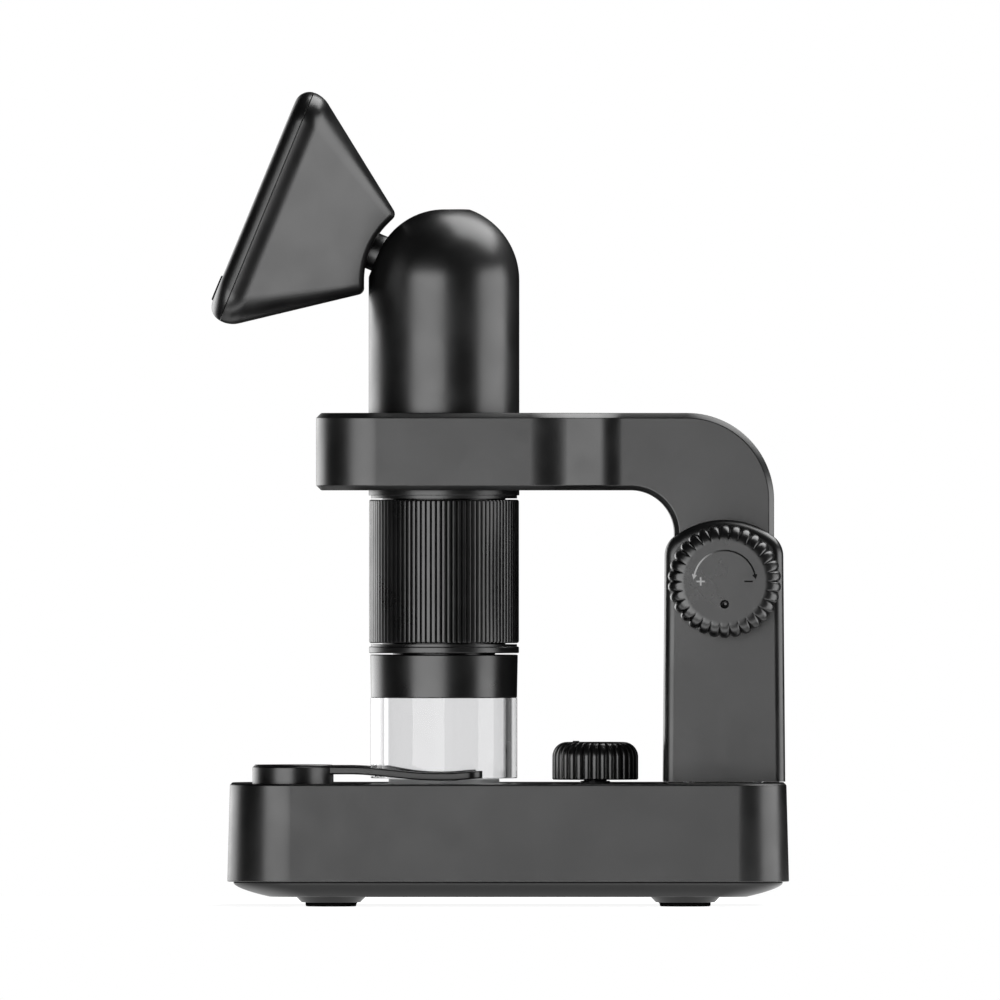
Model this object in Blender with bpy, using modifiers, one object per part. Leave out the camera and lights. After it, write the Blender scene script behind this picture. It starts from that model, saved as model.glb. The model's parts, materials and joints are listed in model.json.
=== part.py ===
"""Digital pocket microscope with a tilting screen, held in a focusing bench stand.

Units are metres and +Z is up. The screen looks towards -X and the near side is -Y. The origin
lies on the bench, under the middle of the whole model.
"""

import math

import bmesh
import bpy
from mathutils import Matrix, Vector

# Fits and mesh fineness
GAP = 0.0003
RUN = 0.0004
WALL = 0.0024
MERGE = 0.00001
OVERCUT = 0.0010
ROUND_STEPS = 32
MIDDLE_STEPS = 24
SMALL_STEPS = 16
TINY_STEPS = 12
DOME_STEPS = 48
CORNER_STEPS = 5

# Base housing
BASE_LENGTH = 0.1456
BASE_WIDTH = 0.0840
BASE_MIDDLE_X = 0.0021
BASE_RIM_Z = 0.0060
BASE_TOP_Z = 0.0317
BASE_DRAFT = 0.00065
BASE_EDGE = 0.0005
BASE_LEFT_CORNER = 0.0166
BASE_RIGHT_CORNER = 0.0133

# Bottom cover and feet
COVER_BOTTOM_Z = 0.0021
COVER_TUCK = 0.0024
COVER_SWEEP = 0.0105
COVER_RINGS = 4
FOOT_INSET_X = 0.0269
FOOT_INSET_Y = 0.0140
FOOT_RADIUS = 0.0066
FOOT_BOSS_RADIUS = 0.0082
FOOT_BOSS_DRAFT = 0.0006
FOOT_PROUD = 0.00104
FOOT_SEAT = 0.0010
FOOT_EDGE = 0.0004

# Screws
SCREW_RADIUS = 0.0015
SCREW_HEAD_RADIUS = 0.0031
SCREW_HEAD = 0.0013
SCREW_BOSS_WALL = 0.0018
BASE_SCREW_INSET_X = 0.0227
BASE_SCREW_INSET_Y = 0.0280
BASE_SCREW_LENGTH = 0.0100
BASE_SCREW_SINK = 0.0003
COLUMN_SCREW_REACH = 0.0090
COLUMN_SCREW_GRIP = 0.0045

# Battery compartment
CELL_RADIUS = 0.00525
CELL_LENGTH = 0.0435
CELL_NIPPLE_RADIUS = 0.0019
CELL_NIPPLE = 0.0008
CELL_COUNT = 3
BATTERY_X = 0.0050
DOOR_THICKNESS = 0.0017
DOOR_LEDGE = 0.0022
DOOR_CORNER = 0.0025
HOLDER_WALL = 0.0016

# Stage and its lamp
TUBE_OFFSET = -0.01666
STAGE_GLASS_RADIUS = 0.0144
STAGE_GLASS_PROUD = 0.0013
STAGE_GLASS_SEAT = 0.0014
STAGE_LEDGE = 0.0021
LAMP_WELL_WALL = 0.0018
LAMP_WELL_DEPTH = 0.0094
LAMP_BOARD_THICKNESS = 0.0016
LAMP_BOARD_RADIUS = 0.0138
LED_RADIUS = 0.0025
LED_HEIGHT = 0.0040

# Dimmer
DIMMER_TO_COLUMN = 0.03345
DIMMER_RADIUS = 0.01125
DIMMER_CLEARANCE = 0.0009
DIMMER_HEIGHT = 0.0098
DIMMER_SHOULDER = 0.0039
DIMMER_LOBES = 30
DIMMER_LOBE_DEPTH = 0.0006
DIMMER_NECK_RADIUS = 0.00385
DIMMER_SHAFT_RADIUS = 0.0030
DIMMER_BODY = 0.0160
DIMMER_BODY_HEIGHT = 0.0078
DIMMER_DOT_RADIUS = 0.0009
DIMMER_DOT_REACH = 0.0050

# Stage clips
CLIP_INSET_X = 0.0169
CLIP_INSET_Y = 0.0155
CLIP_PUCK_RADIUS = 0.0104
CLIP_TOP_Z = 0.0363
CLIP_EDGE = 0.0004
CLIP_REACH = 0.04925
CLIP_WIDTH = 0.0074
CLIP_THICKNESS = 0.0020
CLIP_ROOT_DROP = 0.0001
CLIP_DIP = 0.0016
CLIP_DIP_START = 0.30
CLIP_DIP_SPAN = 0.45
CLIP_TIP_RISE = 0.0005
CLIP_RISE_START = 0.82
CLIP_RISE_SPAN = 0.18
CLIP_STEPS = 9
CLIP_PAD_REACH = 0.0404
CLIP_PAD_RADIUS = 0.0029
CLIP_PAD_Z = 0.03255
CLIP_POST_RADIUS = 0.0030
CLIP_POST_HEAD_RADIUS = 0.0048
CLIP_POST_HEAD = 0.0018

# Microscope, stacked from the stage upwards
TUBE_RADIUS = 0.0196
TUBE_WALL = 0.0018
HOOD_LIFT = 0.0013
HOOD_LENGTH = 0.02095
HOOD_STEP = 0.00055
HOOD_WALL = 0.0031
HOOD_SPIGOT = 0.0040
HOOD_FLOOR = 0.0014
COLLAR_LENGTH = 0.01115
COLLAR_STEP = 0.0004
COLLAR_DRAFT = 0.0002
COLLAR_WALL = 0.0015
COLLAR_TOP = 0.0025
COLLAR_REVEAL = 0.0004
NECK_RADIUS = 0.0133
NECK_WALL = 0.0013
FLANGE_LENGTH = 0.0017
FLANGE_GROOVE = 0.0009
GROOVE_DEPTH = 0.0006
RING_STEP = 0.0001
FOCUS_RING_LENGTH = 0.0373
FOCUS_RIBS = 90
FOCUS_RIB_DEPTH = 0.0006
FOCUS_BARREL_RADIUS = 0.0160
TUBE_GROOVE = 0.0011
TUBE_LENGTH = 0.0559
LENS_CARRIER_LENGTH = 0.0200
LENS_CARRIER_WALL = 0.0030
LENS_CARRIER_DROP = 0.0140
LENS_THICKNESS = 0.0040
LENS_SHOULDER = 0.6
LENS_MIDWAY = 0.9
LED_RING_THICKNESS = 0.0018
SENSOR_BOARD_THICKNESS = 0.0016
BARREL_TAIL = 0.0060

# Tilt joint
TILT_REST = 22.5
SLOT_HALF_WIDTH = 0.0067
BALL_RADIUS = 0.0172
BALL_HALF_WIDTH = 0.0090
BALL_BACK = 0.0040
STALK_RADIUS = 0.0049
PIVOT_RADIUS = 0.0020
BRACKET_THICKNESS = 0.0020
BRACKET_HALF = 0.0065
BRACKET_DROP = 0.0194
HANDHELD_BATTERY = (0.0200, 0.0100, 0.0220)
MAIN_BOARD = (0.0240, 0.0016, 0.0250)
MAIN_BOARD_Y = 0.0090

# Screen head, measured from the tilt pivot along the head's own axis
HEAD_FRONT = 0.0533
HEAD_SEAM = 0.0496
HEAD_HALF = 0.0320
HEAD_EDGE = 0.0036
HEAD_FLANK = 0.0012
HEAD_REAR_EDGE = 0.0053
HEAD_TAPER = 35.8
HEAD_BACK = 0.0178
HEAD_BACK_CLEARANCE = 0.0012
HEAD_CORNER = 0.0083
HEAD_BACK_CORNER = 0.0030
HEAD_WALL = 0.0022
HEAD_FLOOR = 0.0245
HEAD_NUT_RADIUS = 0.0080
HEAD_NUT_THICKNESS = 0.0020
GLASS_WIDTH = 0.0510
GLASS_HEIGHT = 0.0410
GLASS_THICKNESS = 0.0012
GLASS_RISE = 0.0040
GLASS_CORNER = 0.0020
GLASS_LEDGE = 0.0012
PANEL_MARGIN = 0.0010
PANEL_THICKNESS = 0.0024
PANEL_POCKET = 0.0010
HEAD_BOARD_HALF = 0.0262
HEAD_BOARD_THICKNESS = 0.0016
BUTTON_RADIUS = 0.0034
BUTTON_DROP = 0.0244
BUTTON_SPACING = 0.0120
BUTTON_PROUD = 0.0005
BUTTON_TRAVEL = 0.0006
BUTTON_SKIRT = 0.0006
BUTTON_COUNT = 3

# Focus drive
GEAR_MODULE = 0.0007
GEAR_TEETH = 16
GEAR_PRESSURE = 20.0
GEAR_ADDENDUM = 0.85
GEAR_DEDENDUM = 1.15
GEAR_BACKLASH = 0.0001
GEAR_HALF_WIDTH = 0.0040
RACK_BODY = 0.0029
FOCUS_TRAVEL = 0.0130
SHAFT_RADIUS = 0.0025
BUSH_WALL = 0.0012
BUSH_FLANGE = 0.0009
BUSH_FLANGE_RADIUS = 0.0055
KNOB_RADIUS = 0.0147
KNOB_FACE_RADIUS = 0.0107
KNOB_LENGTH = 0.0110
KNOB_SHOULDER = 0.0036
KNOB_LOBES = 30
KNOB_LOBE_DEPTH = 0.0009
KNOB_SOCKET = 0.0080
KNOB_DOT_RADIUS = 0.00115
KNOB_DOT_DROP = 0.0059
DOT_HEIGHT = 0.0003

# Arm, post and column
COLUMN_INSET = 0.0167
POST_HALF_X = 0.01295
POST_HALF_Y = 0.0150
COLUMN_WALL = 0.0020
COLUMN_DRAFT = 0.0005
COLUMN_REVEAL = 0.0005
COLUMN_FOOT = 0.0078
COLUMN_CORNER = 0.0065
COLUMN_ARCH_RISE = 0.0066
COLUMN_EDGE = 0.0017
COLUMN_BELOW_ARM = 0.0076
SHAFT_BELOW_TOP = 0.0160
ARM_THICKNESS = 0.0201
ARM_REACH = 0.03324
ARM_FLAT = 0.02236
ARM_CORNER = 0.0159
ARM_SWELL_OUT = 0.0188
ARM_SWELL_IN = 0.0150
ARM_OUTER_BEND = 0.0226
ARM_INNER_BEND = 0.0112
ARM_EDGE = 0.0012
ARM_ABOVE_RING = 0.0013
ARM_RING_WALL = 0.0035
POST_CEILING = 0.0050
POST_WALL_Y = 0.0024
LINER_THICKNESS = 0.0013
LINER_INSET = 0.0004

# Places that follow from the size of the base
TUBE_X = BASE_MIDDLE_X + TUBE_OFFSET
COLUMN_X = BASE_MIDDLE_X + BASE_LENGTH / 2 - COLUMN_INSET
DIMMER_X = COLUMN_X - DIMMER_TO_COLUMN
CLIP_X = BASE_MIDDLE_X - BASE_LENGTH / 2 + CLIP_INSET_X
CLIP_Y = BASE_WIDTH / 2 - CLIP_INSET_Y
FOOT_REACH_X = BASE_LENGTH / 2 - FOOT_INSET_X
FOOT_REACH_Y = BASE_WIDTH / 2 - FOOT_INSET_Y
BASE_SCREW_REACH_X = BASE_LENGTH / 2 - BASE_SCREW_INSET_X
BASE_SCREW_REACH_Y = BASE_WIDTH / 2 - BASE_SCREW_INSET_Y

# Heights that follow from the stack
HOOD_BOTTOM_Z = BASE_TOP_Z + HOOD_LIFT
COLLAR_BOTTOM_Z = HOOD_BOTTOM_Z + HOOD_LENGTH
COLLAR_TOP_Z = COLLAR_BOTTOM_Z + COLLAR_LENGTH
FLANGE_BOTTOM_Z = COLLAR_TOP_Z + COLLAR_REVEAL
FLANGE_TOP_Z = FLANGE_BOTTOM_Z + FLANGE_LENGTH
RING_BOTTOM_Z = FLANGE_TOP_Z + FLANGE_GROOVE
RING_TOP_Z = RING_BOTTOM_Z + FOCUS_RING_LENGTH
TUBE_END_Z = RING_TOP_Z + GAP
TUBE_SHOULDER_Z = RING_TOP_Z + TUBE_GROOVE
DOME_Z = TUBE_SHOULDER_Z + TUBE_LENGTH
ARM_BOTTOM_Z = TUBE_SHOULDER_Z + ARM_ABOVE_RING
ARM_TOP_Z = ARM_BOTTOM_Z + ARM_THICKNESS
COLUMN_TOP_Z = ARM_BOTTOM_Z - COLUMN_BELOW_ARM
COLUMN_BOTTOM_Z = BASE_TOP_Z + COLUMN_REVEAL
SHAFT_Z = COLUMN_TOP_Z - SHAFT_BELOW_TOP
POST_BOTTOM_Z = COLUMN_BOTTOM_Z + COLUMN_FOOT + GAP
COVER_TOP_Z = BASE_RIM_Z - GAP
DIMMER_BOTTOM_Z = BASE_TOP_Z + DIMMER_CLEARANCE
BRACKET_TOP_Z = DOME_Z - BRACKET_DROP
BARREL_TOP_Z = TUBE_END_Z + BARREL_TAIL

# Radii and widths that follow from one another
TUBE_BORE = TUBE_RADIUS - TUBE_WALL
RING_RADIUS = TUBE_RADIUS - RING_STEP
GROOVE_RADIUS = TUBE_RADIUS - GROOVE_DEPTH
COLLAR_RADIUS = TUBE_RADIUS - COLLAR_STEP
HOOD_RADIUS = TUBE_RADIUS - HOOD_STEP
BARREL_BORE = NECK_RADIUS - NECK_WALL
LINER_BORE = TUBE_RADIUS + GAP
LINER_RADIUS = LINER_BORE + LINER_THICKNESS
ARM_BORE = LINER_RADIUS + GAP
ARM_HALF_WIDTH = ARM_BORE + ARM_RING_WALL
COLUMN_HALF_X = POST_HALF_X + RUN + COLUMN_WALL
COLUMN_HALF_Y = POST_HALF_Y + RUN + WALL
GEAR_RADIUS = GEAR_MODULE * GEAR_TEETH / 2
GEAR_TIP_RADIUS = GEAR_RADIUS + GEAR_ADDENDUM * GEAR_MODULE
GEAR_ROOT_RADIUS = GEAR_RADIUS - GEAR_DEDENDUM * GEAR_MODULE
RACK_ROOT = GEAR_RADIUS + GEAR_DEDENDUM * GEAR_MODULE
RACK_BACK = RACK_ROOT + RACK_BODY
POST_CAVITY_HALF = RACK_BACK + GAP
SCREW_HOLE_RADIUS = SCREW_RADIUS + GAP
BOSS_RADIUS = SCREW_HOLE_RADIUS + SCREW_BOSS_WALL
STAGE_HOLE_RADIUS = STAGE_GLASS_RADIUS + GAP - STAGE_LEDGE
CELL_PITCH = 2 * CELL_RADIUS + 2 * GAP
HEAD_BACK_RADIUS = TUBE_RADIUS + HEAD_BACK_CLEARANCE

PARTS = None
CUTTERS = None
MATERIALS = {}


def clear_scene():
    """Empty the file and make one collection for the parts and one for the cutters."""
    global PARTS, CUTTERS
    for item in list(bpy.data.objects):
        bpy.data.objects.remove(item, do_unlink=True)
    PARTS = bpy.data.collections.new("pocket_microscope")
    CUTTERS = bpy.data.collections.new("cutters")
    for group in (PARTS, CUTTERS):
        bpy.context.scene.collection.children.link(group)


def add_material(name, colour, roughness, metallic=0.0):
    """Make one Principled material."""
    made = bpy.data.materials.new(name)
    made.use_nodes = True
    shader = made.node_tree.nodes["Principled BSDF"]
    shader.inputs["Base Color"].default_value = (*colour, 1.0)
    shader.inputs["Roughness"].default_value = roughness
    shader.inputs["Metallic"].default_value = metallic
    MATERIALS[name] = made


def add_materials():
    """Name the finishes of the parts."""
    add_material("satin_black", (0.011, 0.011, 0.012), 0.34)
    add_material("knob_black", (0.011, 0.011, 0.012), 0.40)
    add_material("inner_black", (0.009, 0.009, 0.010), 0.60)
    add_material("rubber", (0.011, 0.011, 0.011), 0.85)
    add_material("clear_plastic", (0.90, 0.92, 0.93), 0.08)
    add_material("frosted_glass", (0.80, 0.82, 0.84), 0.30)
    add_material("screen_glass", (0.010, 0.011, 0.013), 0.06)
    add_material("screen_panel", (0.060, 0.070, 0.080), 0.30)
    add_material("circuit_board", (0.020, 0.110, 0.050), 0.45)
    add_material("white_resin", (0.85, 0.85, 0.82), 0.35)
    add_material("steel", (0.55, 0.55, 0.56), 0.28, 1.0)
    add_material("brass", (0.72, 0.53, 0.24), 0.30, 1.0)
    add_material("bronze", (0.50, 0.33, 0.17), 0.40, 1.0)
    add_material("felt", (0.030, 0.030, 0.032), 0.95)
    add_material("cell_wrap", (0.16, 0.17, 0.19), 0.40)
    add_material("battery_foil", (0.35, 0.36, 0.38), 0.35)


def link_mesh(name, mesh_data, finish):
    """Put a mesh into the model as a named part."""
    piece = bpy.data.objects.new(name, mesh_data)
    if finish:
        mesh_data.materials.append(MATERIALS[finish])
    PARTS.objects.link(piece)
    return piece


def object_from(name, work, finish):
    """Close a bmesh into an object with its faces pointing out."""
    bmesh.ops.recalc_face_normals(work, faces=work.faces)
    mesh_data = bpy.data.meshes.new(name)
    work.to_mesh(mesh_data)
    work.free()
    return link_mesh(name, mesh_data, finish)


def add_axis(name, location, matrix=None):
    """Make an empty that carries the pieces of one axis."""
    axis = bpy.data.objects.new(name, None)
    PARTS.objects.link(axis)
    axis.empty_display_size = WALL
    turn = matrix or Matrix.Identity(3)
    axis.matrix_world = Matrix.Translation(location) @ turn.to_4x4()
    return axis


def carry(piece, axis):
    """Parent a piece to an axis, in the axis's own coordinates."""
    piece.parent = axis
    return piece


def arc(centre_x, centre_y, radius, start, end, steps):
    """Points along an arc, in degrees from the first axis."""
    points = []
    for index in range(steps + 1):
        angle = math.radians(start + (end - start) * index / steps)
        points.append((centre_x + radius * math.cos(angle), centre_y + radius * math.sin(angle)))
    return points


def rounded_outline(left, right, half, left_radius, right_radius, steps=CORNER_STEPS):
    """A rectangle about the X axis with its own corner radius at each end."""
    points = arc(right - right_radius, half - right_radius, right_radius, 0, 90, steps)
    points += arc(left + left_radius, half - left_radius, left_radius, 90, 180, steps)
    points += arc(left + left_radius, left_radius - half, left_radius, 180, 270, steps)
    points += arc(right - right_radius, right_radius - half, right_radius, 270, 360, steps)
    return points


def raise_to(outline, height):
    """Give an outline its height."""
    return [(x, y, height) for x, y in outline]


def loft(name, rings, finish, cap_first=True, cap_last=True):
    """Skin a stack of rings that have the same number of points."""
    work = bmesh.new()
    levels = [[work.verts.new(point) for point in ring] for ring in rings]
    for lower, upper in zip(levels, levels[1:]):
        for index, vertex in enumerate(lower):
            follower = (index + 1) % len(lower)
            work.faces.new((vertex, lower[follower], upper[follower], upper[index]))
    if cap_first:
        work.faces.new(levels[0])
    if cap_last:
        work.faces.new(levels[-1])
    return object_from(name, work, finish)


def prism(name, outline, low, high, finish=None):
    """Extrude a flat outline along Z."""
    work = bmesh.new()
    face = work.faces.new([work.verts.new((x, y, low)) for x, y in outline])
    grown = bmesh.ops.extrude_face_region(work, geom=[face])
    moved = [item for item in grown["geom"] if isinstance(item, bmesh.types.BMVert)]
    bmesh.ops.translate(work, vec=(0, 0, high - low), verts=moved)
    return object_from(name, work, finish)


def stand_up(piece, y=0.0):
    """Turn an outline drawn in X and Y into one in X and Z."""
    piece.rotation_euler = (math.pi / 2, 0, 0)
    piece.location.y = y
    return piece


def box(name, low, high, finish=None):
    """A block between two corners."""
    work = bmesh.new()
    size = Vector(high) - Vector(low)
    middle = (Vector(high) + Vector(low)) / 2
    bmesh.ops.create_cube(work, size=1.0)
    bmesh.ops.scale(work, vec=size, verts=work.verts)
    bmesh.ops.translate(work, vec=middle, verts=work.verts)
    return object_from(name, work, finish)


def turned(name, profile, finish=None, steps=ROUND_STEPS):
    """Turn a profile about Z. It starts on the axis at the top, or is a loop for a ring."""
    work = bmesh.new()
    verts = [work.verts.new((radius, 0.0, height)) for radius, height in profile]
    for pair in zip(verts, verts[1:]):
        work.edges.new(pair)
    if profile[0][0] > 0:
        work.edges.new((verts[-1], verts[0]))
    piece = object_from(name, work, finish)
    screw = piece.modifiers.new("Turn", "SCREW")
    screw.steps = steps
    screw.render_steps = steps
    screw.use_merge_vertices = True
    screw.merge_threshold = MERGE
    return piece


def rod(name, radius, low, high, finish=None, steps=SMALL_STEPS):
    """A plain round rod along Z."""
    return turned(name, [(0, high), (radius, high), (radius, low), (0, low)], finish, steps)


def ring(name, outer, inner, low, high, finish=None, steps=SMALL_STEPS):
    """A plain round ring along Z."""
    profile = [(outer, high), (outer, low), (inner, low), (inner, high)]
    return turned(name, profile, finish, steps)


def headed_rod(name, radius, head_radius, low, seat, high, finish=None, steps=SMALL_STEPS):
    """A round rod with a flat head at its lower end."""
    profile = [(0, high), (radius, high), (radius, seat), (head_radius, seat)]
    profile += [(head_radius, low), (0, low)]
    return turned(name, profile, finish, steps)


def as_cutter(piece):
    """Keep a shape only as a tool for the Boolean modifiers."""
    PARTS.objects.unlink(piece)
    CUTTERS.objects.link(piece)
    piece.hide_render = True
    piece.display_type = "WIRE"
    return piece


def combine(piece, tool, operation):
    """Add one exact Boolean to a piece."""
    step = piece.modifiers.new(operation.title(), "BOOLEAN")
    step.operation = operation
    step.solver = "EXACT"
    step.object = as_cutter(tool)
    return piece


def cut(piece, *tools):
    for tool in tools:
        combine(piece, tool, "DIFFERENCE")
    return piece


def join(piece, *tools):
    for tool in tools:
        combine(piece, tool, "UNION")
    return piece


def keep_inside(piece, tool):
    return combine(piece, tool, "INTERSECT")


def soften(piece, width, segments=2, angle=50):
    """Round the sharp edges of a piece."""
    bevel = piece.modifiers.new("Edge", "BEVEL")
    bevel.width = width
    bevel.segments = segments
    bevel.limit_method = "ANGLE"
    bevel.angle_limit = math.radians(angle)
    return piece


def at(piece, x=0.0, y=0.0, z=0.0):
    piece.location = (x, y, z)
    return piece


def lobed_ring(radius, depth, lobes, height):
    """A round outline of convex lobes that meet in sharp valleys."""
    dips = (1.0, 0.1, 0.1)
    count = lobes * len(dips)
    points = []
    for index in range(count):
        angle = 2 * math.pi * index / count
        reach = radius - depth * dips[index % len(dips)]
        points.append((reach * math.cos(angle), reach * math.sin(angle), height))
    return points


def base_outline(inset):
    """Plan of the base, drawn in by the given inset."""
    left = BASE_MIDDLE_X - BASE_LENGTH / 2 + inset
    right = BASE_MIDDLE_X + BASE_LENGTH / 2 - inset
    left_radius = max(BASE_LEFT_CORNER - inset, BASE_EDGE)
    right_radius = max(BASE_RIGHT_CORNER - inset, BASE_EDGE)
    return rounded_outline(left, right, BASE_WIDTH / 2 - inset, left_radius, right_radius)


def base_screw_places():
    """Places of the four screws that hold the bottom cover."""
    places = []
    for side_x in (-1, 1):
        for side_y in (-1, 1):
            x = BASE_MIDDLE_X + side_x * BASE_SCREW_REACH_X
            places.append((x, side_y * BASE_SCREW_REACH_Y))
    return places


def column_screw_places():
    return [COLUMN_X - COLUMN_SCREW_REACH, COLUMN_X + COLUMN_SCREW_REACH]


def make_base_shell():
    """Moulded housing, open below, with its bosses, lamp well and seats."""
    ceiling = BASE_TOP_Z - WALL
    rings = [raise_to(base_outline(BASE_DRAFT + WALL), ceiling)]
    rings.append(raise_to(base_outline(WALL), BASE_RIM_Z))
    rings.append(raise_to(base_outline(0), BASE_RIM_Z))
    rings.append(raise_to(base_outline(BASE_DRAFT), BASE_TOP_Z - BASE_EDGE))
    rings.append(raise_to(base_outline(BASE_DRAFT + BASE_EDGE), BASE_TOP_Z))
    shell = loft("base_shell", rings, "satin_black")
    mid_wall = BASE_TOP_Z - WALL / 2
    well_bore = STAGE_HOLE_RADIUS + GAP
    well = ring("lamp_well", well_bore + LAMP_WELL_WALL, well_bore,
                BASE_TOP_Z - LAMP_WELL_DEPTH, mid_wall, steps=MIDDLE_STEPS)
    plinth = prism("plinth", column_plan(COLUMN_REVEAL * 2), mid_wall, COLUMN_BOTTOM_Z - GAP)
    join(shell, at(well, TUBE_X), plinth)
    for x, y in base_screw_places():
        boss = ring("cover_boss", BOSS_RADIUS, SCREW_HOLE_RADIUS, BASE_RIM_Z, mid_wall,
                    steps=TINY_STEPS)
        join(shell, at(boss, x, y))
    above = BASE_TOP_Z + OVERCUT
    seat_z = BASE_TOP_Z - STAGE_GLASS_SEAT
    seat = STAGE_GLASS_RADIUS + GAP
    below = ceiling - OVERCUT
    profile = [(0, above), (seat, above), (seat, seat_z), (STAGE_HOLE_RADIUS, seat_z)]
    profile += [(STAGE_HOLE_RADIUS, below), (0, below)]
    cut(shell, at(turned("glass_seat", profile), TUBE_X))
    cut(shell, at(rod("dimmer_hole", DIMMER_NECK_RADIUS + GAP, below, above), DIMMER_X))
    for side in (-1, 1):
        pivot = rod("clip_hole", CLIP_POST_RADIUS + GAP, below, above)
        cut(shell, at(pivot, CLIP_X, side * CLIP_Y))
    for x in column_screw_places():
        hole = rod("column_screw_hole", SCREW_HOLE_RADIUS, below, COLUMN_BOTTOM_Z + OVERCUT,
                   steps=TINY_STEPS)
        cut(shell, at(hole, x))
    return shell


def cell_block():
    """Length and width of the room that the row of cells takes."""
    length = CELL_LENGTH + CELL_NIPPLE + 4 * GAP
    width = CELL_PITCH * CELL_COUNT + 2 * GAP
    return length, width


def centred_outline(length, width, corner, x=0.0):
    """A rounded rectangle about a point on the X axis."""
    return rounded_outline(x - length / 2, x + length / 2, width / 2, corner, corner, 3)


def door_size():
    """Length and width of the battery door."""
    length, width = cell_block()
    margin = 2 * (HOLDER_WALL + DOOR_LEDGE)
    return length + margin, width + margin


def make_bottom_cover():
    """Belly plate with swept edges, foot bosses, screw sinks and the battery opening."""
    rings = []
    for index in range(COVER_RINGS + 1):
        fall = index / COVER_RINGS
        height = COVER_TOP_Z - fall * (COVER_TOP_Z - COVER_BOTTOM_Z)
        rings.append(raise_to(base_outline(COVER_TUCK + COVER_SWEEP * fall * fall), height))
    cover = loft("base_bottom_cover", rings, "satin_black")
    for x, y in foot_places():
        middle = (COVER_BOTTOM_Z + COVER_TOP_Z) / 2
        floor = FOOT_PROUD + FOOT_SEAT
        seat = FOOT_RADIUS + GAP
        profile = [(0, middle), (FOOT_BOSS_RADIUS, middle)]
        profile += [(FOOT_BOSS_RADIUS - FOOT_BOSS_DRAFT, FOOT_PROUD), (seat, FOOT_PROUD)]
        profile += [(seat, floor), (0, floor)]
        join(cover, at(turned("foot_boss", profile, steps=MIDDLE_STEPS), x, y))
    seat_z = COVER_BOTTOM_Z + BASE_SCREW_SINK + SCREW_HEAD + GAP
    for x, y in base_screw_places():
        sink = headed_rod("screw_sink", SCREW_HOLE_RADIUS, SCREW_HEAD_RADIUS + GAP, 0, seat_z,
                          BASE_RIM_Z, steps=TINY_STEPS)
        cut(cover, at(sink, x, y))
    length, width = door_size()
    recess = centred_outline(length + 2 * GAP, width + 2 * GAP, DOOR_CORNER, BATTERY_X)
    opening = centred_outline(length - 2 * DOOR_LEDGE, width - 2 * DOOR_LEDGE, DOOR_CORNER,
                              BATTERY_X)
    recess_top = COVER_BOTTOM_Z + DOOR_THICKNESS + GAP
    cut(cover, prism("door_recess", recess, 0, recess_top))
    cut(cover, prism("door_opening", opening, 0, BASE_RIM_Z))
    return cover


def foot_places():
    """Places of the four feet."""
    places = []
    for side_x in (-1, 1):
        for side_y in (-1, 1):
            places.append((BASE_MIDDLE_X + side_x * FOOT_REACH_X, side_y * FOOT_REACH_Y))
    return places


def make_feet():
    top = FOOT_PROUD + FOOT_SEAT - GAP
    for number, (x, y) in enumerate(foot_places(), 1):
        profile = [(0, top), (FOOT_RADIUS, top), (FOOT_RADIUS, FOOT_EDGE)]
        profile += [(FOOT_RADIUS - FOOT_EDGE, 0), (0, 0)]
        at(turned(f"rubber_foot_{number}", profile, "rubber", 20), x, y)


def make_base_screws():
    low = COVER_BOTTOM_Z + BASE_SCREW_SINK
    for number, (x, y) in enumerate(base_screw_places(), 1):
        screw = headed_rod(f"base_screw_{number}", SCREW_RADIUS, SCREW_HEAD_RADIUS, low,
                           low + SCREW_HEAD, COVER_TOP_Z + BASE_SCREW_LENGTH, "steel", TINY_STEPS)
        at(screw, x, y)


def make_battery_compartment():
    """Door, cells and the holder that closes over them."""
    length, width = door_size()
    outline = centred_outline(length, width, DOOR_CORNER, BATTERY_X)
    door_top = COVER_BOTTOM_Z + DOOR_THICKNESS
    prism("battery_door", outline, COVER_BOTTOM_Z, door_top, "satin_black")
    cell_z = door_top + GAP + CELL_RADIUS
    inner_length, inner_width = cell_block()
    for number in range(CELL_COUNT):
        y = (number - (CELL_COUNT - 1) / 2) * CELL_PITCH
        end = CELL_LENGTH / 2 - CELL_NIPPLE / 2
        profile = [(0, end + CELL_NIPPLE), (CELL_NIPPLE_RADIUS, end + CELL_NIPPLE)]
        profile += [(CELL_NIPPLE_RADIUS, end), (CELL_RADIUS, end)]
        profile += [(CELL_RADIUS, end - CELL_LENGTH), (0, end - CELL_LENGTH)]
        cell = turned(f"battery_cell_{number + 1}", profile, "cell_wrap", SMALL_STEPS)
        cell.rotation_euler = (0, math.pi / 2 * (-1) ** number, 0)
        at(cell, BATTERY_X, y, cell_z)
    low = COVER_TOP_Z + GAP
    high = cell_z + CELL_RADIUS + GAP + HOLDER_WALL
    outer = centred_outline(inner_length + 2 * HOLDER_WALL, inner_width + 2 * HOLDER_WALL,
                            HOLDER_WALL, BATTERY_X)
    inner = centred_outline(inner_length, inner_width, GAP, BATTERY_X)
    holder = prism("battery_holder", outer, low, high, "inner_black")
    cut(holder, prism("cell_room", inner, 0, high - HOLDER_WALL))


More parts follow.
